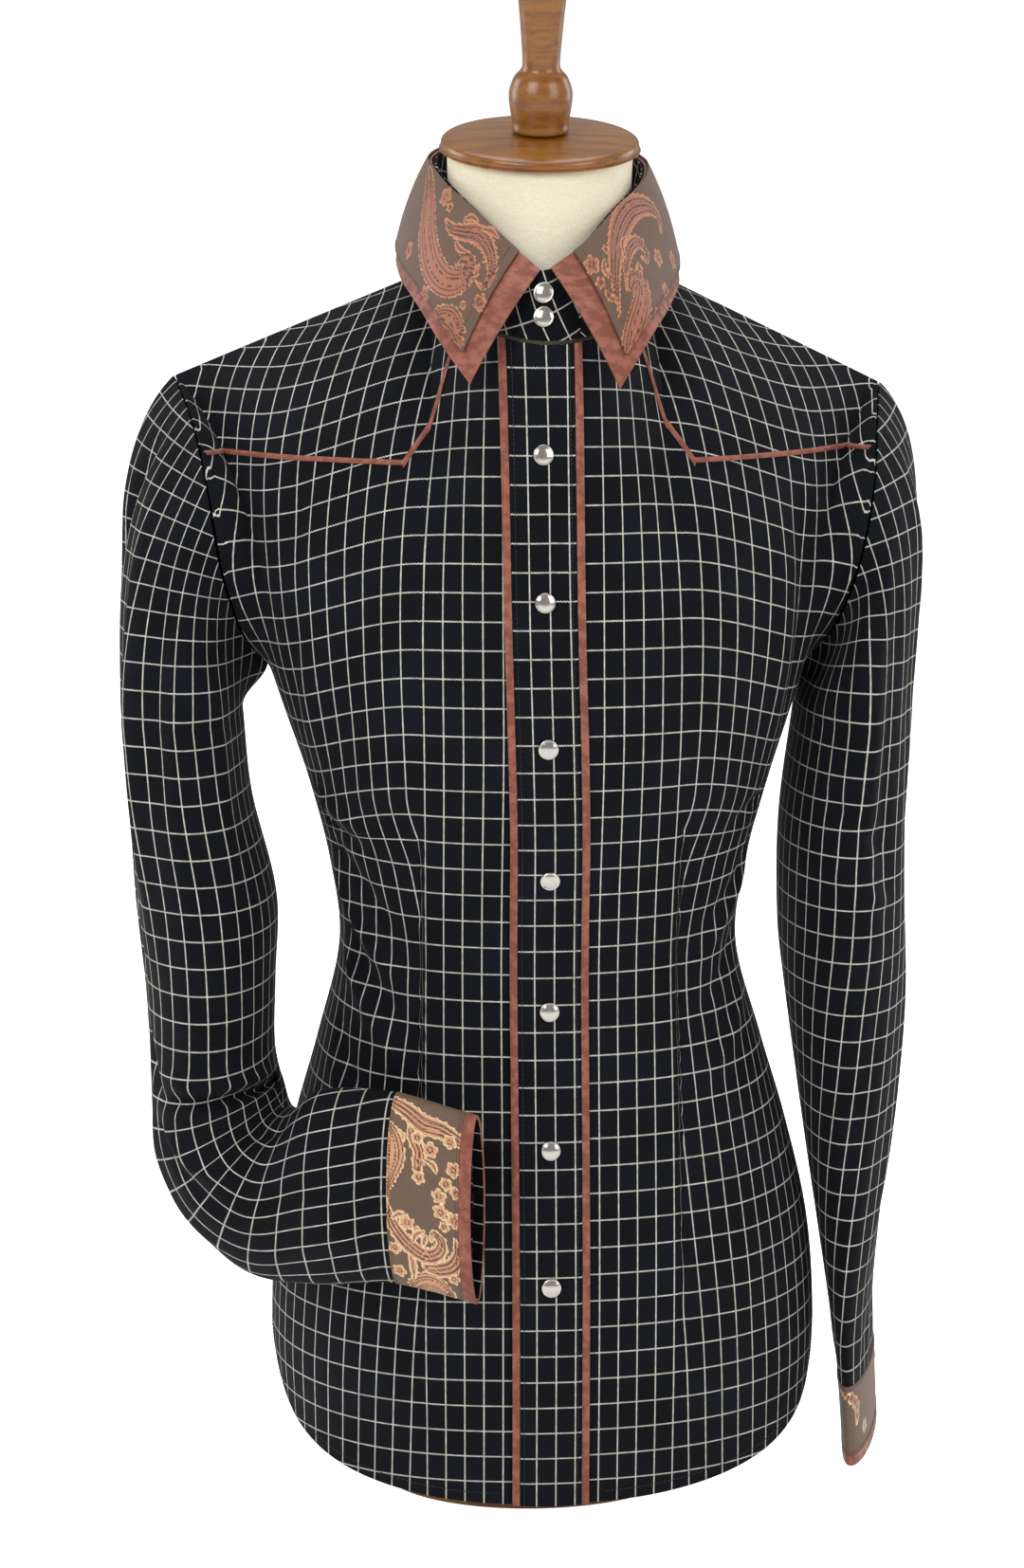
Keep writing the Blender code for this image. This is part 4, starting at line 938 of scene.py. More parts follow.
def yoke_piping(side, face, count):
    """Grid of the piping along a yoke's edge: a flat tube of rust cloth."""
    start = YOKE_TOP_SHARE if face < 0 else 0.0
    marks = [yoke_corner(side)] if face < 0 else []
    shares = panel_shares(start, yoke_end(side, face), count, *marks)
    full, crossing = column_edges(side, face, shares)
    top = np.minimum(crossing, full - 0.0010)
    unit_up = edge_slant(side, face, shares, top)
    lifts = 0.0004 + 0.0011 * np.sin(math.pi * np.linspace(0.04, 0.96, 9))
    return skin(side, face, shares, top - YOKE_PIPING_WIDTH * unit_up, top, 9, lifts)


def both_sides(grids):
    """One grid from the two halves of a piece that crosses the centre back."""
    return [np.concatenate([grids[0][k][:0:-1], grids[1][k]]) for k in (0, 1)]


BODY_CENTRE = np.array([0.0, 0.0, ARMPIT - 0.05])


def front_strip(offsets, fractions, lifts):
    """Grid on the closed fronts: offsets from the placket's middle line, up the centre."""
    shares = np.linspace(0.0, 0.40, 41)
    halves = []
    for side in (1, -1):
        found = columns(side, -1, shares)
        full = found.lengths[:, -1]
        targets = full[:, None] * fractions
        halves.append(np.stack([resample(found.points[..., k], found.lengths, targets)
                                for k in range(3)], -1))
    lattice = np.concatenate([halves[0][::-1], halves[1][1:]])
    points = np.empty((len(offsets), len(fractions), 3))
    for row in range(len(fractions)):
        line = lattice[::-1, row]
        middle = curve(PLACKET_LINE, lattice[40, row, 2])[1]
        for axis in range(3):
            points[:, row, axis] = np.interp(middle + offsets, line[:, 0], line[:, axis])
    normals = outward_normals(points, BODY_CENTRE)
    return points + normals * (LAY + CLOTH + np.asarray(lifts))[:, None, None]


def strip_uv(points, offsets, shift=0.0):
    """Cloth coordinates of an upright strip: across by its offsets, up by its length."""
    middle = points[len(points) // 2]
    up = np.linalg.norm(np.diff(middle, axis=0), axis=1).cumsum()
    up = np.concatenate([[0.0], up]) + middle[0, 2] + shift
    level = np.interp(points[..., 2], middle[:, 2], up)
    return np.stack(np.broadcast_arrays(np.asarray(offsets)[:, None], level), -1)


# --- snaps ------------------------------------------------------------------------------------------
SNAP_PROFILE = (             # radius and height, as shares of the snap's own
    (0.0, 0.0), (0.90, 0.0), (0.985, 0.10), (1.0, 0.28), (0.97, 0.50), (0.90, 0.62), (0.84, 0.60),
    (0.80, 0.62), (0.60, 0.80), (0.30, 0.94), (0.0, 0.98),
)


def snap_cap(name, seat, outward, material):
    """Domed cap of a snap with its rolled rim."""
    placing = Matrix.Translation(seat) @ Vector(outward).to_track_quat("Z", "Y").to_matrix().to_4x4()
    profile = [(radius * SNAP_RADIUS, height * SNAP_HEIGHT * 1.25) for radius, height in SNAP_PROFILE]
    return turned(name, rounded(profile, 2), 32, placing, material)


# --- collar -------------------------------------------------------------------------------------------
def fold_points(angles):
    """Fold on top of the stand at angles in degrees, closed across the centre front."""
    angles = np.asarray(angles, float) % 360
    found = np.stack(curve(COLLAR, angles)[1:4], -1)
    left, right = np.array(COLLAR[-1][1:4]), np.array(COLLAR[0][1:4])
    t = (angles / COLLAR[0].angle)[..., None]
    return np.where(t < 1, left * (1 - t) + right * t, found)


def leaf_points(angles, downs):
    """Points of the collar's fall between its fold (down 0) and its edge (down 1)."""
    row = curve(COLLAR, angles)
    fold, edge = np.stack(row[1:4], -1), np.stack(row[4:7], -1)
    level = edge * np.array([1, 1, 0]) + np.array([0, 0.01, 0])
    away = unit(level) * 0.8 + np.array([0, 0, 0.6])
    downs = np.asarray(downs)[..., None]
    return fold * (1 - downs) + edge * downs + away * (LEAF_BULGE * 4 * downs * (1 - downs))


def stand_points(angles, ups):
    """Points of the collar stand between the neckline (up 0) and the fold (up 1)."""
    base = neck_points(np.radians(angles), 0.0016)
    fold = fold_points(angles)
    inward = unit(-fold * np.array([1, 1, 0]))
    high = fold + inward * 0.0022 - np.array([0, 0, 0.0010])
    ups = np.asarray(ups)[..., None]
    return base * (1 - ups) + high * ups


def lengths_along(points, axis):
    """Distances from the first point along an axis of a grid."""
    steps = np.linalg.norm(np.diff(points, axis=axis), axis=2)
    zero = np.zeros_like(np.take(steps, [0], axis=axis))
    return np.concatenate([zero, steps.cumsum(axis=axis)], axis=axis)


# --- sleeves ------------------------------------------------------------------------------------------
def arm_points(side, along, turn, swell=0.0):
    """Points of a sleeve or cuff at distances along the arm and turns round it."""
    table = SLEEVE_RIGHT if side < 0 else SLEEVE_LEFT
    _, x, y, z, out, fore, lean, swing = curve(table, along)
    lean, swing = np.radians(lean), np.radians(swing)
    zero = 0 * x
    backward = np.stack([np.sin(swing), np.cos(swing), zero], -1)
    level = np.stack([np.cos(swing), -np.sin(swing), zero], -1) * side
    outer = level * np.cos(lean)[..., None] - np.stack([zero, zero, np.sin(lean)], -1)
    centre = np.stack([x, y, z], -1)
    return (centre + outer * ((out + swell) * np.cos(turn))[..., None]
            + backward * ((fore + swell) * np.sin(turn))[..., None])


def cap_points(side, t, turn):
    """Points of the sleeve cap between the armhole (t 0) and the first section (t 1)."""
    half = np.abs(turn) / math.pi
    back = armhole_points(side, 1, half, 1)
    front = armhole_points(side, -1, half, 1)
    start = np.where((turn >= 0)[..., None], back, front) + np.array([side * 0.0012, 0, 0])
    end = arm_points(side, np.zeros_like(turn), turn)
    reach = np.linalg.norm(end - start, axis=-1, keepdims=True)
    outer = np.cos(turn / 2)[..., None] ** 2
    leave = (np.array([side * 0.62, 0, -0.60]) * outer
             + np.array([side * 0.16, 0, -0.95]) * (1 - outer)) * reach
    arrive = np.array([0, 0, -1.0]) * reach
    return hermite(start, end, leave, arrive, t[..., None])


def flattened(points, across, rows=14, every=2):
    """Cloth coordinates of a sleeve cap laid out flat with its angles kept, on its last row."""
    picks = np.linspace(0, points.shape[1] - 1, rows).round().astype(int)
    coarse = points[::every][:, picks]
    count = coarse.shape[0]
    index = np.arange(count * rows).reshape(count, rows)
    corners = np.concatenate([
        np.stack([index[:-1, 1:], index[1:, 1:], index[:-1, :-1]], -1).reshape(-1, 3),
        np.stack([index[:-1, :-1], index[1:, :-1], index[1:, 1:]], -1).reshape(-1, 3)])
    upward = np.repeat([1.0, -1.0], len(corners) // 2)
    first, second, third = coarse.reshape(-1, 3)[corners].transpose(1, 0, 2)
    base, other = second - first, third - first
    width = np.linalg.norm(base, axis=1)
    run = (other * base).sum(axis=1) / width
    rise = np.sqrt(np.maximum((other ** 2).sum(axis=1) - run ** 2, 0))
    corner = run + 1j * rise * upward
    weight = 1 / np.sqrt(np.maximum(width * rise, 1e-12))
    matrix = np.zeros((len(corners), count * rows), complex)
    row = np.arange(len(corners))
    matrix[row, corners[:, 0]] = (corner - width) * weight
    matrix[row, corners[:, 1]] = -corner * weight
    matrix[row, corners[:, 2]] = width * weight
    pinned, free = index[:, -1], index[:, :-1].ravel()
    known = matrix[:, pinned] @ across[::every].astype(complex)
    flat = np.zeros(count * rows, complex)
    flat[free] = np.linalg.lstsq(matrix[:, free], -known, rcond=None)[0]
    flat[pinned] = across[::every]
    flat = flat.reshape(count, rows)
    fine = np.array([np.interp(np.arange(points.shape[1]), picks, line) for line in flat])
    place = np.arange(points.shape[0])
    fine = np.stack([np.interp(place, place[::every], line) for line in fine.T], -1)
    return np.stack([fine.real, fine.imag], -1)


GATHER_DEPTH = 0.0010    # small pleats where a sleeve is gathered into its cuff
GATHER_PITCH = 0.0231
GATHER_HEIGHT = 0.05     # they fade out this far above the cuff


def sleeve_grid(side, folds):
    """Grid of a sleeve from the armhole to the cuff, creased, with its cloth coordinates."""
    turns = np.linspace(-math.pi, math.pi, 113)
    caps, alongs = np.linspace(0, 1, 42), np.linspace(0, CUFF_SEAM[side] - 0.0003, 160)
    turn, t = np.meshgrid(turns, caps, indexing="ij")
    cap = cap_points(side, t, turn)
    turn, along = np.meshgrid(turns, alongs, indexing="ij")
    arm = arm_points(side, along, turn)
    points = np.concatenate([cap, arm[:, 1:]], axis=1)
    up = lengths_along(cap, 1)
    height = np.concatenate([up[:, -1:] - up, -along[:, 1:]], axis=1)
    middle = len(turns) // 2
    round_it = lengths_along(points, 0)
    across = round_it - round_it[middle]
    uv = np.stack([across, height], -1)
    uv[:, :len(caps)] = flattened(points[:, :len(caps)], across[:, len(caps) - 1])
    height = uv[..., 1]
    end = smooth(height, -CUFF_SEAM[side] + 0.004, -CUFF_SEAM[side] + 0.03)
    seam = np.ones(len(caps) + len(alongs) - 1)
    seam[:len(caps)] = smooth(caps, 0.0, 0.25)
    normals = grid_normals(points, True)
    centre_line = points.mean(axis=0)
    if (normals * (points - centre_line)).sum() < 0:
        normals = -normals
    gather = GATHER_DEPTH * np.sin(across / GATHER_PITCH * 2 * math.pi) * (1 - smooth(
        height, -CUFF_SEAM[side], -CUFF_SEAM[side] + GATHER_HEIGHT)) * end
    height_map = relief(uv, folds) * end * seam + gather
    return points + normals * height_map[..., None], uv


def cuff_grid(side, start, end, swell, rows, turns=181):
    """Grid of a cuff or its binding, with its cloth coordinates from the middle of its front."""
    turn = np.linspace(-math.pi, math.pi, turns)
    turn, along = np.meshgrid(turn, np.linspace(start, end, rows), indexing="ij")
    points = arm_points(side, along, turn, swell)
    round_it = lengths_along(points, 0)
    quarter = turns // 4
    across = round_it - round_it[quarter]
    return points, np.stack([across, along - CUFF_SEAM[side]], -1)


# --- dress form -----------------------------------------------------------------------------------
Turned = namedtuple("Turned", "radius height")
CAP_PROFILE = (
    Turned(0.0, -0.0025), Turned(0.0525, -0.0025), Turned(0.0550, -0.0012), Turned(0.0555, 0.0010),
    Turned(0.0545, 0.0030), Turned(0.0500, 0.0045), Turned(0.0300, 0.0062), Turned(0.0, 0.0070),
)
FINIAL_PROFILE = (
    Turned(0.0, 0.0075), Turned(0.0150, 0.0075), Turned(0.0158, 0.0130), Turned(0.0174, 0.0220),
    Turned(0.0176, 0.0300), Turned(0.0150, 0.0375), Turned(0.0112, 0.0420), Turned(0.0104, 0.0460),
    Turned(0.0115, 0.0620), Turned(0.0132, 0.0800), Turned(0.0150, 0.0900), Turned(0.0140, 0.0990),
    Turned(0.0085, 0.1050), Turned(0.0, 0.1070),
)
Oval = namedtuple("Oval", "height half_width half_depth")
FOOT_RINGS = (               # heights over the floor
    Oval(0.000, 0.0935, 0.0605), Oval(0.0015, 0.095, 0.062), Oval(0.0105, 0.095, 0.062),
    Oval(0.012, 0.0945, 0.0615), Oval(0.0165, 0.091, 0.058), Oval(0.018, 0.088, 0.055),
    Oval(0.0215, 0.055, 0.045), Oval(0.023, 0.052, 0.042), Oval(0.1057, 0.048, 0.040),
)
FOOT_BACK = 0.020            # the foot stands this far behind the axis
NECK_RINGS = (               # height, half width, front and back of the form's neck
    (0.748, 0.0518, 0.062, 0.048), (0.766, 0.0516, 0.056, 0.048),
)
CAP_RING = (0.0520, -0.0030)     # radius and height of the neck's upper end, under the cap


def form_quarter(side, face, shares, rows):
    """Grid of one quarter of the form's torso, drawn in from the cloth."""
    found = columns(side, face, shares)
    climbing = np.maximum.accumulate(found.points[..., 2], axis=1)
    low = np.array([np.interp(FORM_BOTTOM, z, length)
                    for z, length in zip(climbing, found.lengths)])
    full = found.lengths[:, -1]
    targets = low[:, None] + (full - low)[:, None] * np.linspace(0, 1, rows)
    points = np.stack([resample(found.points[..., k], found.lengths, targets)
                       for k in range(3)], -1)
    along = targets / full[:, None]
    sideways = np.clip((shares - 0.4) / 0.4, 0, 1)[:, None]
    upward = np.clip((along - 0.85) / 0.15, 0, 1)
    scale = FORM_SCALE - FORM_ARM_SCALE * np.maximum(sideways, upward)
    return points * np.stack([scale, scale, np.ones_like(scale)], -1) - np.array([0, 0, FORM_DROP])


FORM_STEPS = 25    # points of each third of a quarter: neck, shoulder and side


def form_grid():
    """Quarters of the form with their rings up the neck."""
    shares = np.unique(np.concatenate([np.linspace(0, NECK_SHARE, FORM_STEPS),
                                       np.linspace(NECK_SHARE, SHOULDER_SHARE, FORM_STEPS),
                                       np.linspace(SHOULDER_SHARE, 1, FORM_STEPS)]))
    tilt = np.array(Matrix.Rotation(CAP_TILT, 3, "X"))
    quarter = np.linspace(0, math.pi / 2, FORM_STEPS)
    found = {}
    for side in (-1, 1):
        for face in (-1, 1):
            torso = form_quarter(side, face, shares, 60)
            rings = [torso[:FORM_STEPS, -1]]
            for height, half_width, front, rear in NECK_RINGS:
                depth = front if face < 0 else rear
                rings.append(np.stack([side * half_width * np.sin(quarter),
                                       face * depth * np.cos(quarter),
                                       np.full(FORM_STEPS, height)], -1))
            radius, height = CAP_RING
            level = np.stack([side * radius * np.sin(quarter), face * radius * np.cos(quarter),
                              np.full(FORM_STEPS, height)], -1)
            rings.append(np.array(CAP_CENTRE) + level @ tilt.T)
            neck = np.stack(rings, 1)
            fine = np.linspace(0, 3, 31)
            k = np.minimum(fine.astype(int), 2)
            t = (fine - k)[None, :, None]
            slope = np.gradient(neck, axis=1)
            neck = hermite(neck[:, k], neck[:, k + 1], slope[:, k], slope[:, k + 1], t)
            found[side, face] = (torso, neck)
    return found


def form_solid(name, quarters, material):
    """Closed solid of the form's quarters."""
    bm = bmesh.new()
    for torso, neck in quarters.values():
        for grid in (torso, neck):
            verts = [[bm.verts.new(Vector(p)) for p in row] for row in grid]
            for a, b in zip(verts, verts[1:]):
                for r in range(len(a) - 1):
                    bm.faces.new((a[r], b[r], b[r + 1], a[r + 1]))
        floor = bm.verts.new(Vector((0, 0, FORM_BOTTOM - FORM_DROP)))
        low = [bm.verts.new(Vector(p)) for p in torso[:, 0]]
        for a, b in zip(low, low[1:]):
            bm.faces.new((a, b, floor))
        lid = bm.verts.new(CAP_CENTRE + Matrix.Rotation(CAP_TILT, 3, "X") @ Vector(
            (0, 0, CAP_RING[1])))
        high = [bm.verts.new(Vector(p)) for p in neck[:, -1]]
        for a, b in zip(high, high[1:]):
            bm.faces.new((a, b, lid))
    for side in (-1, 1):
        front, back = quarters[side, -1][0][:, -1], quarters[side, 1][0][:, -1]
        # front and back part from the shoulder on, and these faces close the gap between them
        for c in range(2 * (FORM_STEPS - 1), len(front) - 1):
            bm.faces.new([bm.verts.new(Vector(p)) for p in (front[c], front[c + 1], back[c + 1],
                                                            back[c])])
    bmesh.ops.remove_doubles(bm, verts=bm.verts, dist=0.00003)
    bmesh.ops.dissolve_degenerate(bm, edges=bm.edges, dist=0.00003)
    mesh = bpy.data.meshes.new(name)
    bm.to_mesh(mesh)
    bm.free()
    mesh.materials.append(material)
    return settle(name, mesh, 60)


def oval_foot(material):
    """Oval plinth and post under the form."""
    angles = np.linspace(0, 2 * math.pi, 96, endpoint=False)
    bm = bmesh.new()
    rings = [[bm.verts.new(Vector((oval.half_width * math.cos(a),
                                   FOOT_BACK + oval.half_depth * math.sin(a),
                                   oval.height - CLEARANCE))) for a in angles]
             for oval in FOOT_RINGS]
    for low, high in zip(rings, rings[1:]):
        for c in range(len(angles)):
            n = (c + 1) % len(angles)
            bm.faces.new((low[c], low[n], high[n], high[c]))
    bm.faces.new(rings[0])
    bm.faces.new(rings[-1])
    mesh = bpy.data.meshes.new("foot")
    bm.to_mesh(mesh)
    bm.free()
    mesh.materials.append(material)
    return settle("foot", mesh, 30)


STAND_CENTRE = np.array([0.0, -0.01, 0.735])


def collar_grid(start, end, border, count, rows, lift):
    """Grid of a layer of the collar's fall, with its cloth coordinates round and down the neck."""
    first, last = COLLAR[0].angle, COLLAR[-1].angle
    downs = np.linspace(start, end, rows)
    edge = (FRONT_BORDER[0] + (FRONT_BORDER[1] - FRONT_BORDER[0]) * downs) * border
    t = np.linspace(0, 1, count)[:, None]
    t = t + 0.075 * np.sin(4 * math.pi * t) - 0.055 * np.sin(2 * math.pi * t)
    angle = first + edge + (last - first - 2 * edge) * t
    down = np.broadcast_to(downs, angle.shape)
    points = leaf_points(angle, down)
    if lift:
        across = leaf_points(angle + 0.5, down) - leaf_points(angle - 0.5, down)
        downward = leaf_points(angle, down + 0.02) - leaf_points(angle, down - 0.02)
        points = points + unit(np.cross(across, downward)) * lift
    round_neck = lengths_along(points, 0)
    round_neck = round_neck - round_neck[count // 2]
    return points, np.stack([round_neck, -lengths_along(points, 1)], -1)


PLACKET_CHECK_START = 0.0082    # from the middle of the placket to its nearest upright line


def placket_check(offsets, sizes):
    """Check coordinate over the placket, whose upright lines stand at places of their own."""
    return offsets + PLACKET_CHECK_START + sizes.cell_width * 1.5


def surface_seat(offset, height):
    """Place and outward direction on the placket at a height."""
    fractions = np.linspace(0.0, 0.9985, 330)
    points = front_strip(np.array([-0.004, 0.0, 0.004]) + offset, fractions, np.full(3, 0.0003))
    row = int(np.argmin(np.abs(points[1, :, 2] - height)))
    row = min(max(row, 1), len(fractions) - 2)
    normal = np.cross(points[2, row] - points[0, row], points[1, row + 1] - points[1, row - 1])
    return points[1, row], unit(normal if normal[1] < 0 else -normal)


def snap_seats():
    """Name, seat and outward direction of every snap."""
    for number in range(SNAP_COUNT):
        seat, outward = surface_seat(0.0, LOWEST_SNAP + SNAP_PITCH * number)
        yield "snap_%d" % (SNAP_COUNT - number), Vector(seat), Vector(outward)
    for number, up in ((1, 0.68), (2, 0.34)):
        seat = stand_points(np.array(4.0), np.array(up))
        across = stand_points(np.array(8.0), np.array(up)) - stand_points(np.array(0.0), np.array(up))
        upward = stand_points(np.array(4.0), np.array(up + 0.1)) - seat
        outward = unit(np.cross(across, upward))
        outward = outward if outward[1] < 0 else -outward
        yield "stand_snap_%d" % number, Vector(seat + outward * 0.0003), Vector(outward)
    for side, name in ((-1, "right"), (1, "left")):
        along = CUFF_SEAM[side] + (CUFF_END[side] - CUFF_SEAM[side]) * 0.45
        seat = arm_points(side, np.array(along), np.array(math.pi / 2), 0.0006)
        table = SLEEVE_RIGHT if side < 0 else SLEEVE_LEFT
        swing = math.radians(float(curve(table, along)[7]))
        yield "cuff_snap_" + name, Vector(seat), Vector((math.sin(swing), math.cos(swing), 0))


# --- paisley ----------------------------------------------------------------------------------------
# Motifs in millimetres over their cloth. A boteh, scroll or leaf is a spine of (x, y, half width)
# and a floret is one (x, y, radius)
Motif = namedtuple("Motif", "kind spine")
RIGHT_LEAF = (               # x back from the leaf's front edge, y down from the fold
    Motif("floret", ((72, 6, 5.5),)), Motif("floret", ((51, 58, 5.0),)),
    Motif("floret", ((90, 44, 5.0),)), Motif("floret", ((4, 38, 5.0),)),
    Motif("floret", ((63, 9, 3.0),)), Motif("floret", ((14, 46, 2.4),)),
    Motif("boteh", ((34, 66, 3), (27, 60, 5), (17, 57, 6), (8, 60, 4.5), (6, 65, 2))),
    Motif("boteh", ((108, 2, 1.5), (96, 9, 4), (84, 19, 6.5), (72, 31, 8.2), (56, 41, 8.6),
                    (40, 44, 7.8), (28, 40, 6.6), (22, 32, 4.8), (26, 25, 3.2), (32, 27, 2.0),
                    (33, 32, 1.2))),
    Motif("scroll", ((61, 16, 0.8), (52, 18, 3.0), (42, 15, 4.6), (31, 10, 5.6), (20, 11, 4.8),
                     (11, 16, 3.6), (6, 23, 2.8), (7, 30, 1.8), (11, 31, 1.0))),
    Motif("leaf", ((30, 6, 0.5), (24, 3, 2.2), (17, 3, 0.4))),
    Motif("leaf", ((44, 21, 0.5), (38, 24, 1.9), (31, 22, 0.4))),
    Motif("leaf", ((16, 20, 0.5), (17, 26, 1.7), (14, 31, 0.4))),
    Motif("leaf", ((46, 9, 0.5), (42, 5, 2.0), (36, 4, 0.4))),
)
LEFT_LEAF = (
    Motif("floret", ((5, 13, 5.5),)), Motif("floret", ((67, 38, 5.0),)),
    Motif("floret", ((60, 55, 4.5),)), Motif("floret", ((40, 34, 3.4),)),
    Motif("floret", ((88, 46, 5.0),)), Motif("floret", ((4, 24, 3.2),)),
    Motif("floret", ((38, 60, 3.6),)), Motif("floret", ((20, 12, 2.6),)),
    Motif("scroll", ((6, 45, 0.8), (11, 34, 2.2), (18, 24, 4.2), (30, 15, 6.4), (46, 9, 7.6),
                     (64, 7, 7.0), (80, 12, 5.0), (88, 21, 2.8), (84, 28, 1.2))),
    Motif("scroll", ((19, 37, 0.8), (29, 27, 2.4), (41, 22, 3.6), (52, 23, 3.4), (56, 29, 2.6),
                     (52, 34, 1.8), (48, 31, 1.0))),
    Motif("boteh", ((2, 66, 4), (8, 60, 6.4), (18, 54, 7.4), (29, 48, 6.8), (35, 41, 4.8),
                    (30, 35, 3.2), (24, 37, 2.0), (25, 42, 1.2))),
    Motif("leaf", ((12, 26, 0.5), (11, 20, 2.0), (15, 15, 0.4))),
    Motif("leaf", ((32, 24, 0.5), (36, 17, 1.6), (43, 16, 0.4))),
    Motif("leaf", ((9, 38, 0.5), (5, 33, 1.9), (6, 28, 0.4))),
)
NECK_BACK_REPEAT = (         # x round the neck, y down from the fold
    Motif("floret", ((-38, 12, 5.0),)), Motif("floret", ((0, 44, 5.5),)),
    Motif("floret", ((38, 40, 5.0),)),
    Motif("boteh", ((-40, 42, 2), (-28, 44, 5), (-15, 38, 7.4), (-4, 27, 7.6), (0, 15, 5.6),
                    (-8, 9, 3.4), (-14, 14, 2.0), (-12, 19, 1.2))),
    Motif("scroll", ((10, 48, 0.8), (20, 38, 3), (26, 24, 5), (36, 13, 5), (47, 12, 3.4),
                     (51, 19, 1.6))),
)
CUFF_REPEAT = (              # x round the cuff from the middle of its front, y from its seam
    Motif("scroll", ((-54, 0, 3), (-50, 10, 4.4), (-45, 20, 5.2), (-44, 31, 4.6), (-40, 43, 3.2))),
    Motif("floret", ((-39, 36, 4.0),)), Motif("floret", ((-36, 7, 3.4),)),
    Motif("boteh", ((-42, -4, 2), (-35, 1, 5), (-25, 3, 6.4), (-14, 1, 4.6), (-6, -1, 2.4),
                    (0, 0, 1.4))),
    Motif("scroll", ((-42, 12, 1.2), (-36, 15, 3.2), (-29, 19, 3.6), (-22, 18, 2.8),
                     (-16, 19, 1.4))),
    Motif("floret", ((-32, 25, 4.6),)), Motif("floret", ((-15, 19, 3.8),)),
    Motif("floret", ((-37, 17, 3.6),)), Motif("leaf", ((-26, 21, 0.5), (-24, 27, 1.9), (-20, 29, 0.4))),
    Motif("floret", ((-24, 39, 4.4),)), Motif("floret", ((-15, 35, 3.8),)),
    Motif("floret", ((-11, 41, 3.6),)), Motif("floret", ((-7, 31, 4.4),)),
    Motif("floret", ((2, 32, 4.6),)), Motif("floret", ((5, 40, 4.8),)),
    Motif("floret", ((10, 34, 3.2),)), Motif("floret", ((13, 12, 4.6),)),
    Motif("floret", ((17, 18, 3.2),)), Motif("floret", ((30, 4, 3.8),)),
    Motif("floret", ((45, 5, 4.2),)), Motif("floret", ((41, 38, 3.8),)),
    Motif("boteh", ((56, 12, 3), (50, 18, 5.2), (48, 26, 5.6), (53, 33, 3.2))),
    Motif("leaf", ((30, 12, 0.6), (39, 14, 2.4), (50, 13, 0.4))),
    Motif("scroll", ((16, 40, 0.8), (24, 42, 3.0), (33, 38, 4.4), (38, 29, 4.2), (38, 21, 1.6))),
    Motif("scroll", ((2, 0, 0.8), (9, 1, 2.4), (18, 5, 3.8), (26, 12, 4.8), (31, 22, 4.8),
                     (27, 30, 3.8), (20, 32, 2.8), (16, 28, 2.0), (20, 26, 1.2))),
    Motif("leaf", ((24, 15, 0.5), (19, 17, 1.8), (16, 22, 0.4))),
    Motif("leaf", ((25, 21, 0.5), (21, 22, 1.7), (18, 23, 0.4))),
    Motif("leaf", ((12, 3, 0.5), (9, 7, 1.8), (8, 12, 0.4))),
)
LEFT_CUFF_REPEAT = (
    Motif("floret", ((-30, 8, 4.0),)), Motif("floret", ((22, 32, 4.2),)),
    Motif("scroll", ((-6, 4, 0.8), (4, 8, 2.6), (10, 16, 3.0), (8, 24, 1.4))),
)


def mirrored(motifs, about, sign=-1):
    """Motifs repeated on the other side of a line, or shifted by it."""
    return tuple(Motif(motif.kind, tuple((about + sign * x, y, w) for x, y, w in motif.spine))
                 for motif in motifs)


def soft_step(distance, soft):
    """1 inside and 0 outside an outline, over a soft edge."""
    return np.clip(0.5 - distance / (2 * soft), 0, 1)


def floret_ink(place, motif, fine):
    """Figure, outline and vein of a five-petalled flower."""
    x, y, radius = motif.spine[0]
    away = place - (x, y)
    reach = np.hypot(away[:, 0], away[:, 1])
    angle = np.arctan2(away[:, 1], away[:, 0]) + x
    petal = radius * (0.66 + 0.34 * np.abs(np.cos(2.5 * angle)))
    body = soft_step(reach - petal, fine)
    line = soft_step(np.abs(reach - petal) - fine, fine * 0.7)
    ring = soft_step(np.abs(reach - 0.30 * radius) - fine * 0.6, fine * 0.7)
    gap = soft_step(np.abs(np.cos(2.5 * angle)) * reach - fine, fine) * (reach < 0.8 * petal) \
        * (reach > 0.42 * radius)
    return body, line, np.maximum(ring, 0.6 * gap)


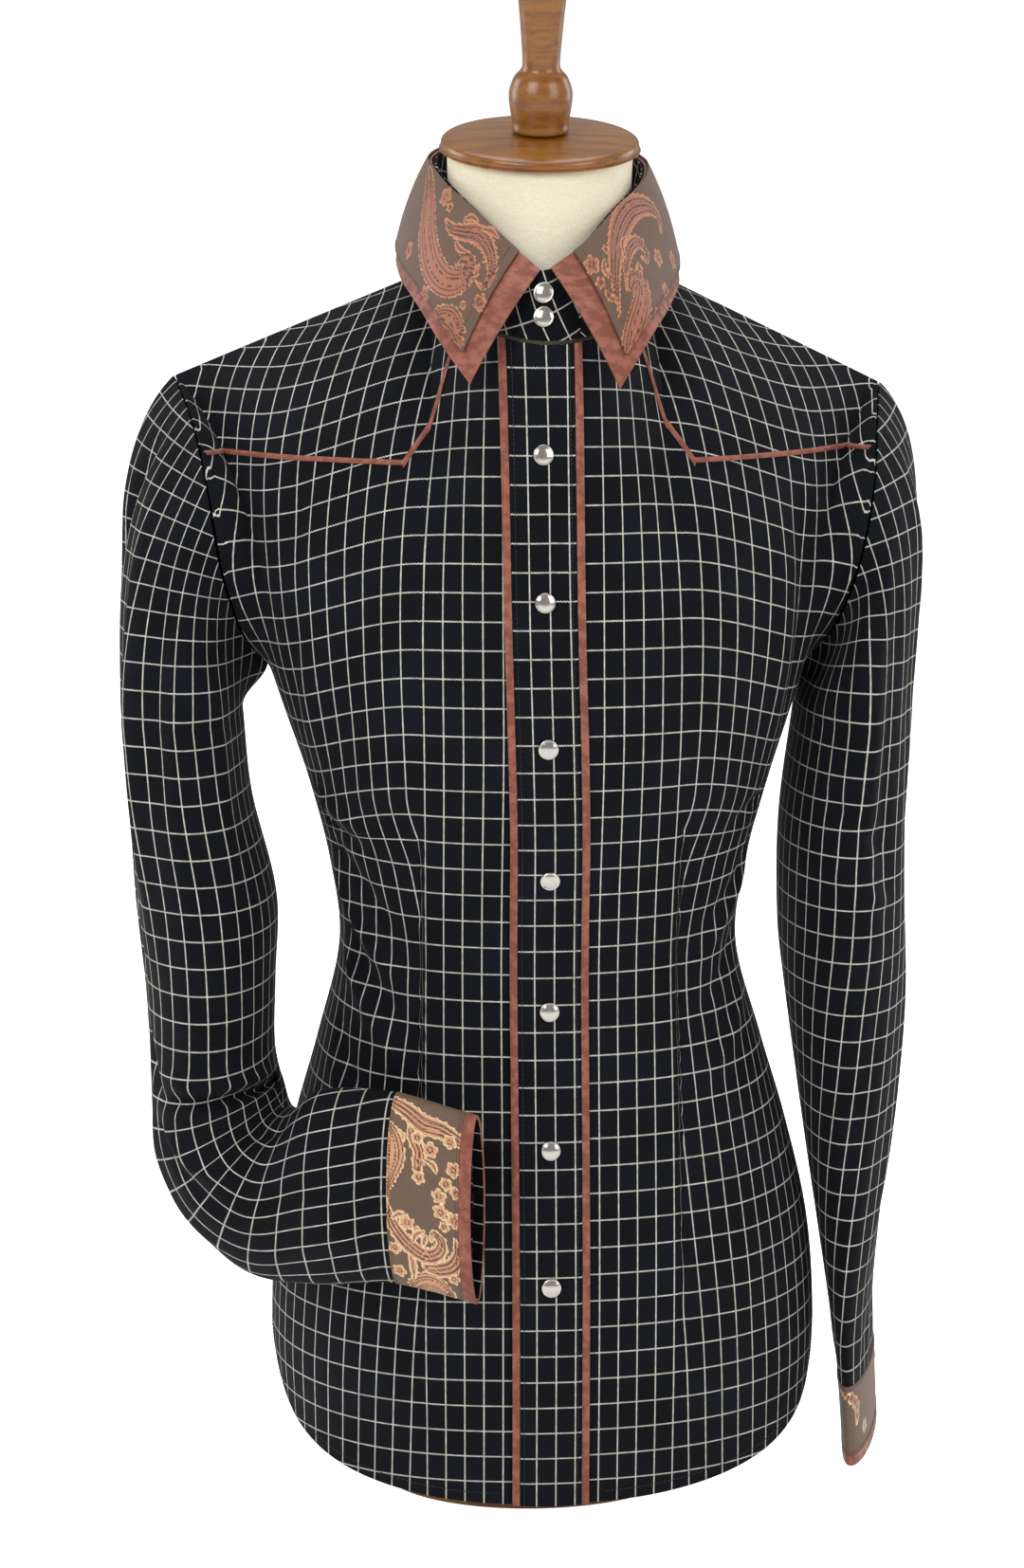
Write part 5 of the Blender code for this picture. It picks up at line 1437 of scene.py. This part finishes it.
def spine_ink(place, motif, fine):
    """Figure, outline and veins of a shape that swells along a curved spine."""
    rows = np.array(motif.spine, float)
    order = np.arange(len(rows))
    slope = (rows[np.minimum(order + 1, len(rows) - 1)] - rows[np.maximum(order - 1, 0)]) / 2
    steps = np.linspace(0, len(rows) - 1, 26 * (len(rows) - 1))
    k = np.minimum(steps.astype(int), len(rows) - 2)
    line = hermite(rows[k], rows[k + 1], slope[k], slope[k + 1], (steps - k)[:, None])
    arc = np.concatenate([[0], np.linalg.norm(np.diff(line[:, :2], axis=0), axis=1).cumsum()])
    gaps = np.hypot(place[:, None, 0] - line[None, :, 0], place[:, None, 1] - line[None, :, 1])
    outside = gaps - np.maximum(line[:, 2], 0.3)[None]
    nearest = outside.argmin(axis=1)
    pick = np.arange(len(place))
    away, half = gaps[pick, nearest], np.maximum(line[nearest, 2], 0.3)
    along = arc[nearest]
    edge = half
    veins = soft_step(np.abs(away - 0.62 * half) - 0.7 * fine, fine * 0.7) * (half > 1.6)
    if motif.kind == "boteh":
        edge = half + 1.5 * np.abs(np.sin(math.pi * along / 3.0)) * smooth(half, 1.0, 3.0)
        veins = np.maximum(veins, soft_step(np.abs(away - half) - 0.7 * fine, fine * 0.7))
        dots = np.sin(2 * math.pi * along / 1.9) * (half > 3.0)
        veins = np.maximum(veins, soft_step(np.abs(away - 0.30 * half) - 0.5, fine) * (dots > 0.1))
    elif motif.kind == "scroll":
        stripes = np.sin(2 * math.pi * away / 1.7) * (half > 2.0) * (away < 0.55 * half)
        veins = np.maximum(veins, 0.75 * smooth(stripes, 0.35, 0.95))
        edge = half + 0.8 * smooth(np.sin(2 * math.pi * along / 4.6), 0.1, 0.9) * smooth(half, 1, 3)
    else:
        veins = soft_step(away - 0.25, fine * 0.7)
    body = soft_step(away - edge, fine)
    outline = soft_step(np.abs(away - edge) - fine, fine * 0.7)
    return body, outline, veins * body


def paisley(place, motifs, fine=0.36):
    """Shares of figure, outline and vein at places over the cloth, in millimetres."""
    flat = place.reshape(-1, 2)
    ink = np.zeros((len(flat), 3))
    for motif in motifs:
        rows = np.array(motif.spine, float)
        reach = rows[:, 2].max() + 3
        low, high = rows[:, :2].min(axis=0) - reach, rows[:, :2].max(axis=0) + reach
        near = np.flatnonzero(((flat >= low) & (flat <= high)).all(axis=1))
        if not len(near):
            continue
        draw = floret_ink if motif.kind == "floret" else spine_ink
        body, line, vein = draw(flat[near], motif, fine)
        cover = np.maximum(body, line)[:, None]
        ink[near] = ink[near] * (1 - cover) + np.stack([body, line, vein], -1) * cover
    return ink.reshape(place.shape[:-1] + (3,))


def collar_ink(uv):
    """Ink of the collar's fall: each front leaf from its own front edge, and the back between."""
    down = -uv[..., 1]
    ink = paisley(np.stack([uv[..., 0] - uv[:1, :, 0], down], -1) * 1000, RIGHT_LEAF)
    other = paisley(np.stack([uv[-1:, :, 0] - uv[..., 0], down], -1) * 1000, LEFT_LEAF)
    back = paisley(np.stack([uv[..., 0], down], -1) * 1000,
                   mirrored(NECK_BACK_REPEAT, -52, 1) + mirrored(NECK_BACK_REPEAT, 52, 1))
    back = back * (np.abs(uv[..., 0]) < 0.110)[..., None]
    return np.maximum(np.maximum(ink * (uv[..., 0] < -0.10)[..., None],
                                 other * (uv[..., 0] > 0.10)[..., None]), back)


def cuff_ink(uv, motifs):
    """Ink of a cuff: one repeat over its front and one, mirrored, over its back."""
    half = (uv[..., 0].max() - uv[..., 0].min()) * 500
    place = uv * 1000
    place[..., 0] = np.where(place[..., 0] > 1.5 * half, place[..., 0] - 2 * half, place[..., 0])
    return paisley(place, motifs + mirrored(motifs, half) + mirrored(motifs, -half))


# --- stitches -----------------------------------------------------------------------------------------
def stitch_nodes():
    """Geometry Nodes group that lays stitches along lines."""
    group = bpy.data.node_groups.new("stitches_along_lines", "GeometryNodeTree")
    group.interface.new_socket("Lines", in_out="INPUT", socket_type="NodeSocketGeometry")
    for name, kind in (("Pitch", "NodeSocketFloat"), ("Length", "NodeSocketFloat"),
                       ("Thickness", "NodeSocketFloat"), ("Unevenness", "NodeSocketFloat"),
                       ("Seed", "NodeSocketInt"), ("Thread", "NodeSocketMaterial")):
        group.interface.new_socket(name, in_out="INPUT", socket_type=kind)
    group.interface.new_socket("Stitches", in_out="OUTPUT", socket_type="NodeSocketGeometry")
    given = add(group, "NodeGroupInput").node.outputs
    lines = add(group, "GeometryNodeMeshToCurve", {"Mesh": given["Lines"]}, "Curve")
    even = add(group, "GeometryNodeResampleCurve", {"Curve": lines, "Length": given["Pitch"]},
               "Curve", mode="LENGTH")
    size = add(group, "ShaderNodeCombineXYZ", (given["Length"], given["Thickness"],
                                               given["Thickness"]))
    thread = add(group, "GeometryNodeMeshCube", {"Size": size}, "Mesh")
    tangent = add(group, "GeometryNodeInputTangent", out="Tangent")
    jitter = add(group, "FunctionNodeRandomValue", {"Min": (-1.0,) * 3, "Max": (1.0,) * 3,
                                                    "Seed": given["Seed"]},
                 "Value", data_type="FLOAT_VECTOR")
    uneven = add(group, "ShaderNodeVectorMath", {0: jitter, "Scale": given["Unevenness"]},
                 "Vector", operation="SCALE")
    aim = add(group, "ShaderNodeVectorMath", (tangent, uneven), operation="ADD")
    turn = add(group, "FunctionNodeAlignRotationToVector", {"Vector": aim}, "Rotation", axis="X")
    laid = add(group, "GeometryNodeInstanceOnPoints",
               {"Points": even, "Instance": thread, "Rotation": turn}, "Instances")
    real = add(group, "GeometryNodeRealizeInstances", {"Geometry": laid}, "Geometry")
    dyed = add(group, "GeometryNodeSetMaterial", {"Geometry": real, "Material": given["Thread"]})
    add(group, "NodeGroupOutput", {"Stitches": dyed})
    return group


def stitches(name, lines, thread, sizes):
    """Baked stitches along lines of points."""
    verts = np.concatenate(lines)
    ends = np.cumsum([len(line) for line in lines])
    edges = [(k, k + 1) for k in range(len(verts) - 1) if k + 1 not in ends]
    mesh = bpy.data.meshes.new(name + "_lines")
    mesh.from_pydata((verts + np.array([0, 0, CLEARANCE])).tolist(), edges, [])
    holder = bpy.data.objects.new(name + "_lines", mesh)
    bpy.context.scene.collection.objects.link(holder)
    group = bpy.data.node_groups.get("stitches_along_lines") or stitch_nodes()
    modifier = holder.modifiers.new("stitches", "NODES")
    modifier.node_group = group
    values = {"Pitch": sizes.stitch_pitch, "Length": sizes.stitch_pitch * 0.68,
              "Thickness": 0.0003, "Unevenness": 0.06, "Seed": 7, "Thread": thread}
    for item in group.interface.items_tree:
        if item.item_type == "SOCKET" and item.name in values:
            modifier[item.identifier] = values[item.name]
    graph = bpy.context.evaluated_depsgraph_get()
    baked = bpy.data.meshes.new_from_object(holder.evaluated_get(graph))
    bpy.data.objects.remove(holder)
    piece = bpy.data.objects.new(name + SUFFIX, baked)
    bpy.context.scene.collection.objects.link(piece)
    return piece


def dark_lines():
    """Stitched lines of the check cloth: both edges of the placket and the hem."""
    offset = PLACKET_WIDTH / 2 - 0.0022
    fractions = np.linspace(0.002, 0.995, 300)
    band = front_strip(np.array([-offset, 0, offset]), fractions, np.full(3, 0.0003))
    lines = [band[0], band[2]]
    for side in (-1, 1):
        for face, start in ((-1, 0.13), (1, 0.0)):
            shares = np.linspace(start, 0.995, 160)
            lines.append(skin(side, face, shares, 0.0065, 0.0090, 3, 0.0001)[0][:, 0])
    return lines


def rust_lines():
    """Stitched lines of the trims: the edge of the paisley on the collar, and both cuffs."""
    points, _ = collar_grid(0.0, LEAF_BORDER, 1, 400, 40, CLOTH + LAY + 0.0001)
    lines = [points[:, -2], points[3, 2:-2], points[-4, 2:-2]]
    for side in (-1, 1):
        for along in (CUFF_SEAM[side] + 0.0015, CUFF_END[side] - CUFF_BINDING - 0.0020):
            lines.append(cuff_grid(side, along, along + 0.001, 0.0005, 2)[0][:, 0])
    return lines


# --- stage --------------------------------------------------------------------------------------------
Lamp = namedtuple("Lamp", "place aim width height power")
LAMPS = (
    Lamp((-1.6, -2.2, 2.1), (0.0, 0.0, 0.45), 1.6, 1.6, 42.0),
    Lamp((1.9, -1.9, 1.5), (0.0, 0.0, 0.45), 1.4, 1.8, 26.0),
    Lamp((0.0, 0.4, 2.9), (0.0, 0.0, 0.6), 1.8, 1.8, 26.0),
    Lamp((-2.0, 0.9, 1.2), (0.0, 0.0, 0.5), 1.0, 1.6, 16.0),
    Lamp((2.0, 1.0, 1.2), (0.0, 0.0, 0.5), 1.0, 1.6, 12.0),
)
FLOOR_GLOW = 0.08    # light that the floor gives the pieces, while the camera sees it white
WORLD_GLOW = 0.34    # the same for the surround
LENS = 76.7          # focal length in mm on a sensor 36 mm high
EYE = Vector((-0.1315, -1.8965, 0.865))
GAZE = Vector((0.0596, 0.9737, -0.2198))


def studio():
    """Floor, white surround, soft lamps and the camera."""
    scene = bpy.context.scene
    material, tree, shader = begin("pale_studio_floor", Roughness=0.9, Specular_IOR_Level=0.1)
    shader.inputs["Base Color"].default_value = linear("#fbfbfb")
    shader.inputs["Emission Color"].default_value = linear("#ffffff")
    seen = add(tree, "ShaderNodeLightPath", out="Is Camera Ray")
    tree.links.new(add(tree, RANGE, (seen, 0.0, 1.0, FLOOR_GLOW, 1.0)),
                   shader.inputs["Emission Strength"])
    mesh = bpy.data.meshes.new("studio_floor")
    size = 40.0
    mesh.from_pydata([(-size, -size, 0), (size, -size, 0), (size, size, 0), (-size, size, 0)], [],
                     [(0, 1, 2, 3)])
    mesh.materials.append(material)
    floor = bpy.data.objects.new("studio_floor", mesh)
    scene.collection.objects.link(floor)
    world = bpy.data.worlds.new("white_studio")
    world.use_nodes = True
    tree = world.node_tree
    white = tree.nodes["Background"].inputs
    white["Color"].default_value = (1, 1, 1, 1)
    seen = add(tree, "ShaderNodeLightPath", out="Is Camera Ray")
    tree.links.new(add(tree, RANGE, (seen, 0.0, 1.0, WORLD_GLOW, 1.0)), white["Strength"])
    scene.world = world
    for number, lamp in enumerate(LAMPS):
        light = bpy.data.lights.new("softbox_%d" % number, "AREA")
        light.shape = "RECTANGLE"
        light.size, light.size_y, light.energy = lamp.width, lamp.height, lamp.power
        made = bpy.data.objects.new(light.name, light)
        place = Vector(lamp.place)
        made.location = place
        made.rotation_euler = (Vector(lamp.aim) - place).to_track_quat("-Z", "Y").to_euler()
        scene.collection.objects.link(made)
    data = bpy.data.cameras.new("camera")
    data.sensor_fit, data.sensor_width, data.sensor_height = "VERTICAL", 36.0, 36.0
    data.lens = LENS
    camera = bpy.data.objects.new("camera", data)
    camera.location = EYE
    camera.rotation_euler = GAZE.to_track_quat("-Z", "Y").to_euler()
    scene.collection.objects.link(camera)
    scene.camera = camera
    scene.view_settings.view_transform = "Standard"


# --- add-on ---------------------------------------------------------------------------------------
def length_setting(name, description, default, low, high):
    """Length property in metres."""
    return bpy.props.FloatProperty(name=name, description=description, default=default, min=low,
                                   max=high, subtype="DISTANCE", unit="LENGTH", precision=4)


def colour_setting(name, description, code):
    """Colour property from an sRGB hex value."""
    return bpy.props.FloatVectorProperty(name=name, description=description, size=4, min=0.0,
                                         max=1.0, subtype="COLOR", default=linear(code))


class ShirtSizes(bpy.types.PropertyGroup):
    """Sizes and colours of the shirt that a user may change."""
    cell_width: length_setting("Check width", "Width of one pane of the check", 0.0110, 0.004, 0.05)
    cell_height: length_setting("Check height", "Height of one pane of the check", 0.0157, 0.004,
                                0.05)
    line_width: length_setting("Line width", "Width of the check's lines", 0.00075, 0.0002, 0.004)
    stitch_pitch: length_setting("Stitch pitch", "Distance between stitches", 0.0026, 0.001, 0.006)
    rust: colour_setting("Rust", "Ground of the rust brocade", "#93503c")
    linen: colour_setting("Linen", "Colour of the form's cover", "#e9dfc2")
    wood: colour_setting("Wood", "Lighter tone of the turned wood", "#96601f")


class SHIRT_OT_form(bpy.types.Operator):
    """Build the linen form with its wooden cap, finial and foot"""
    bl_idname = "shirt.form"
    bl_label = "Dress form"
    bl_options = {"REGISTER", "UNDO"}

    def execute(self, context):
        look = looks()
        points = form_grid()
        ready(form_solid("form_body", points, look["linen"]), "linen")
        tilt = Matrix.Translation(CAP_CENTRE) @ Matrix.Rotation(CAP_TILT, 4, "X")
        ready(turned("neck_cap", rounded(CAP_PROFILE), 128, tilt, look["wood"]), "turned_wood")
        ready(turned("finial", rounded(FINIAL_PROFILE), 72, tilt, look["wood"]), "turned_wood")
        ready(oval_foot(look["wood"]), "turned_wood")
        return {"FINISHED"}


class SHIRT_OT_body(bpy.types.Operator):
    """Build both fronts and the back"""
    bl_idname = "shirt.body"
    bl_label = "Fronts and back"
    bl_options = {"REGISTER", "UNDO"}

    def execute(self, context):
        look = looks()
        for side, name in ((-1, "right"), (1, "left")):
            front = ready(front_panel(side, "front_" + name, look["check"]), "check_twill")
        back = ready(back_panel(look["check"]), "check_twill")
        return {"FINISHED"}


class SHIRT_OT_yokes(bpy.types.Operator):
    """Build the front yokes, the back yoke and their piping"""
    bl_idname = "shirt.yokes"
    bl_label = "Yokes"
    bl_options = {"REGISTER", "UNDO"}

    def execute(self, context):
        look = looks()
        for side, name in ((-1, "right"), (1, "left")):
            points, uv = yoke(side, -1, 70)
            piece = ready(cloth("yoke_front_" + name, points, uv, [look["check"]],
                                centre=BODY_CENTRE), "check_twill")
            points, uv = yoke_piping(side, -1, 150)
            piece = cloth("yoke_piping_" + name, points, uv, [look["rust"]], centre=BODY_CENTRE)
            ready(piece, "rust_brocade")
        points, uv = both_sides([yoke(side, 1, 70) for side in (-1, 1)])
        piece = ready(cloth("yoke_back", points, uv, [look["check"]], centre=BODY_CENTRE),
                      "check_twill")
        points, uv = both_sides([yoke_piping(side, 1, 130) for side in (-1, 1)])
        piece = ready(cloth("yoke_piping_back", points, uv, [look["rust"]], centre=BODY_CENTRE),
                      "rust_brocade")
        return {"FINISHED"}


class SHIRT_OT_placket(bpy.types.Operator):
    """Build the placket band and the piping along both its edges"""
    bl_idname = "shirt.placket"
    bl_label = "Placket"
    bl_options = {"REGISTER", "UNDO"}

    def execute(self, context):
        look = looks()
        sizes = context.scene.shirt_sizes
        half = PLACKET_WIDTH / 2
        fractions = np.linspace(0.0, 0.9985, 330)
        offsets = np.linspace(-half, half, 29)
        edge = np.abs(offsets) / half
        lifts = 0.0003 * (1 - smooth(edge, 0.80, 1.0)) - 0.00025 * np.exp(
            -((edge - 0.86) / 0.035) ** 2)
        points = front_strip(offsets, fractions, lifts)
        uv = strip_uv(points, offsets, 0.0005)
        uv[..., 0] = placket_check(offsets, sizes)[:, None]
        band = ready(cloth("placket", points, uv, [look["check"]], centre=BODY_CENTRE),
                     "check_twill")
        for side, name in ((-1, "right"), (1, "left")):
            offsets = side * (half + 0.0003) + side * np.linspace(0, PIPING_WIDTH, 9)
            t = np.linspace(0, 1, 9)
            lifts = 0.0008 * np.sin(math.pi * np.clip(t, 0.05, 0.95)) - 0.0003
            points = front_strip(offsets, fractions, lifts)
            piece = cloth("placket_piping_" + name, points, strip_uv(points, offsets),
                          [look["rust"]], centre=BODY_CENTRE)
            ready(piece, "rust_brocade")
        return {"FINISHED"}


class SHIRT_OT_collar(bpy.types.Operator):
    """Build the collar's stand, rust under-layer and paisley upper layer"""
    bl_idname = "shirt.collar"
    bl_label = "Collar"
    bl_options = {"REGISTER", "UNDO"}

    def execute(self, context):
        look = looks()
        angles = np.linspace(-STAND_OVERLAP, 360 - STAND_OVERLAP - 0.4, 180)
        angle, up = np.meshgrid(angles, np.linspace(0, 1, 16), indexing="ij")
        points = stand_points(angle, up)
        uv = np.stack([lengths_along(points, 0), lengths_along(points, 1)], -1)
        tilt = math.radians(24)
        turn = np.array([[math.cos(tilt), math.sin(tilt)], [-math.sin(tilt), math.cos(tilt)]])
        piece = ready(cloth("collar_stand", points, uv @ turn, [look["check"]],
                            centre=STAND_CENTRE), "check_twill")
        points, uv = collar_grid(0.0, 1.0, 0, 240, 20, 0.0)
        piece = ready(cloth("collar_under", points, uv, [look["rust"]], centre=STAND_CENTRE),
                      "rust_brocade")
        points, uv = collar_grid(0.0, LEAF_BORDER, 1, 640, 100, CLOTH + LAY)
        ink = collar_ink(uv)
        piece = ready(cloth("collar_top", points, uv, [look["collar"]], centre=STAND_CENTRE,
                            ink=ink, lined=False), "paisley_brocade")
        return {"FINISHED"}


class SHIRT_OT_sleeves(bpy.types.Operator):
    """Build both sleeves with their creases"""
    bl_idname = "shirt.sleeves"
    bl_label = "Sleeves"
    bl_options = {"REGISTER", "UNDO"}

    def execute(self, context):
        look = looks()
        for side, name, folds in ((-1, "right", RIGHT_SLEEVE_FOLDS), (1, "left", LEFT_SLEEVE_FOLDS)):
            points, uv = sleeve_grid(side, folds)
            piece = ready(cloth("sleeve_" + name, points, uv, [look["check"]], True),
                          "check_twill")
        return {"FINISHED"}


class SHIRT_OT_cuffs(bpy.types.Operator):
    """Build the paisley cuffs with their check linings, and the rust bindings"""
    bl_idname = "shirt.cuffs"
    bl_label = "Cuffs"
    bl_options = {"REGISTER", "UNDO"}

    def execute(self, context):
        look = looks()
        for side, name in ((-1, "right"), (1, "left")):
            seam, end = CUFF_SEAM[side], CUFF_END[side]
            fine = side < 0
            points, uv = cuff_grid(side, seam, end - CUFF_BINDING - 0.0003, 0.0004,
                                   62 if fine else 30, 401 if fine else 181)
            ink = cuff_ink(uv, CUFF_REPEAT if fine else LEFT_CUFF_REPEAT)
            piece = ready(cloth("cuff_" + name, points, uv, [look["cuff"], look["check"]], True,
                                0.0014, ink=ink), "paisley_brocade")
            points, uv = cuff_grid(side, end - CUFF_BINDING, end, 0.0007, 9)
            piece = ready(cloth("cuff_binding_" + name, points, uv, [look["rust"], look["check"]],
                                True, 0.0018), "rust_brocade")
        return {"FINISHED"}


class SHIRT_OT_snaps(bpy.types.Operator):
    """Build the snaps of the placket, the stand and the cuffs"""
    bl_idname = "shirt.snaps"
    bl_label = "Snaps"
    bl_options = {"REGISTER", "UNDO"}

    def execute(self, context):
        look = looks()
        for name, seat, outward in snap_seats():
            ready(snap_cap(name, seat, outward, look["snap"]), "snap_metal")
        return {"FINISHED"}


class SHIRT_OT_stitches(bpy.types.Operator):
    """Lay the stitches along the hem, placket, collar and cuffs"""
    bl_idname = "shirt.stitches"
    bl_label = "Stitches"
    bl_options = {"REGISTER", "UNDO"}

    def execute(self, context):
        look = looks()
        sizes = context.scene.shirt_sizes
        ready(stitches("stitches_dark", dark_lines(), look["dark_thread"], sizes), "check_twill",
              "placket")
        ready(stitches("stitches_rust", rust_lines(), look["rust_thread"], sizes),
              "rust_brocade", "collar_under")
        return {"FINISHED"}


class SHIRT_OT_stage(bpy.types.Operator):
    """Build the pale floor, the soft studio lights and the camera"""
    bl_idname = "shirt.stage"
    bl_label = "Stage"
    bl_options = {"REGISTER", "UNDO"}

    def execute(self, context):
        studio()
        return {"FINISHED"}


STEPS = (SHIRT_OT_form, SHIRT_OT_body, SHIRT_OT_yokes, SHIRT_OT_placket, SHIRT_OT_collar,
         SHIRT_OT_sleeves, SHIRT_OT_cuffs, SHIRT_OT_snaps, SHIRT_OT_stitches, SHIRT_OT_stage)


class SHIRT_PT_pieces(bpy.types.Panel):
    """Panel with the shirt's settings and steps"""
    bl_idname = "SHIRT_PT_pieces"
    bl_label = "Western snap shirt"
    bl_space_type = "VIEW_3D"
    bl_region_type = "UI"
    bl_category = "Shirt"

    def draw(self, context):
        sizes = context.scene.shirt_sizes
        for key in ShirtSizes.__annotations__:
            self.layout.prop(sizes, key)
        for step in STEPS:
            self.layout.operator(step.bl_idname)


def register():
    """Register the settings, the steps and the panel."""
    for item in (ShirtSizes, *STEPS, SHIRT_PT_pieces):
        bpy.utils.register_class(item)
    bpy.types.Scene.shirt_sizes = bpy.props.PointerProperty(type=ShirtSizes)


def unregister():
    """Remove what register added."""
    del bpy.types.Scene.shirt_sizes
    for item in reversed((ShirtSizes, *STEPS, SHIRT_PT_pieces)):
        bpy.utils.unregister_class(item)


def main():
    """Run every step in order."""
    register()
    bpy.ops.shirt.form()
    bpy.ops.shirt.body()
    bpy.ops.shirt.yokes()
    bpy.ops.shirt.placket()
    bpy.ops.shirt.collar()
    bpy.ops.shirt.sleeves()
    bpy.ops.shirt.cuffs()
    bpy.ops.shirt.snaps()
    bpy.ops.shirt.stitches()
    bpy.ops.shirt.stage()


if __name__ == "__main__":
    main()
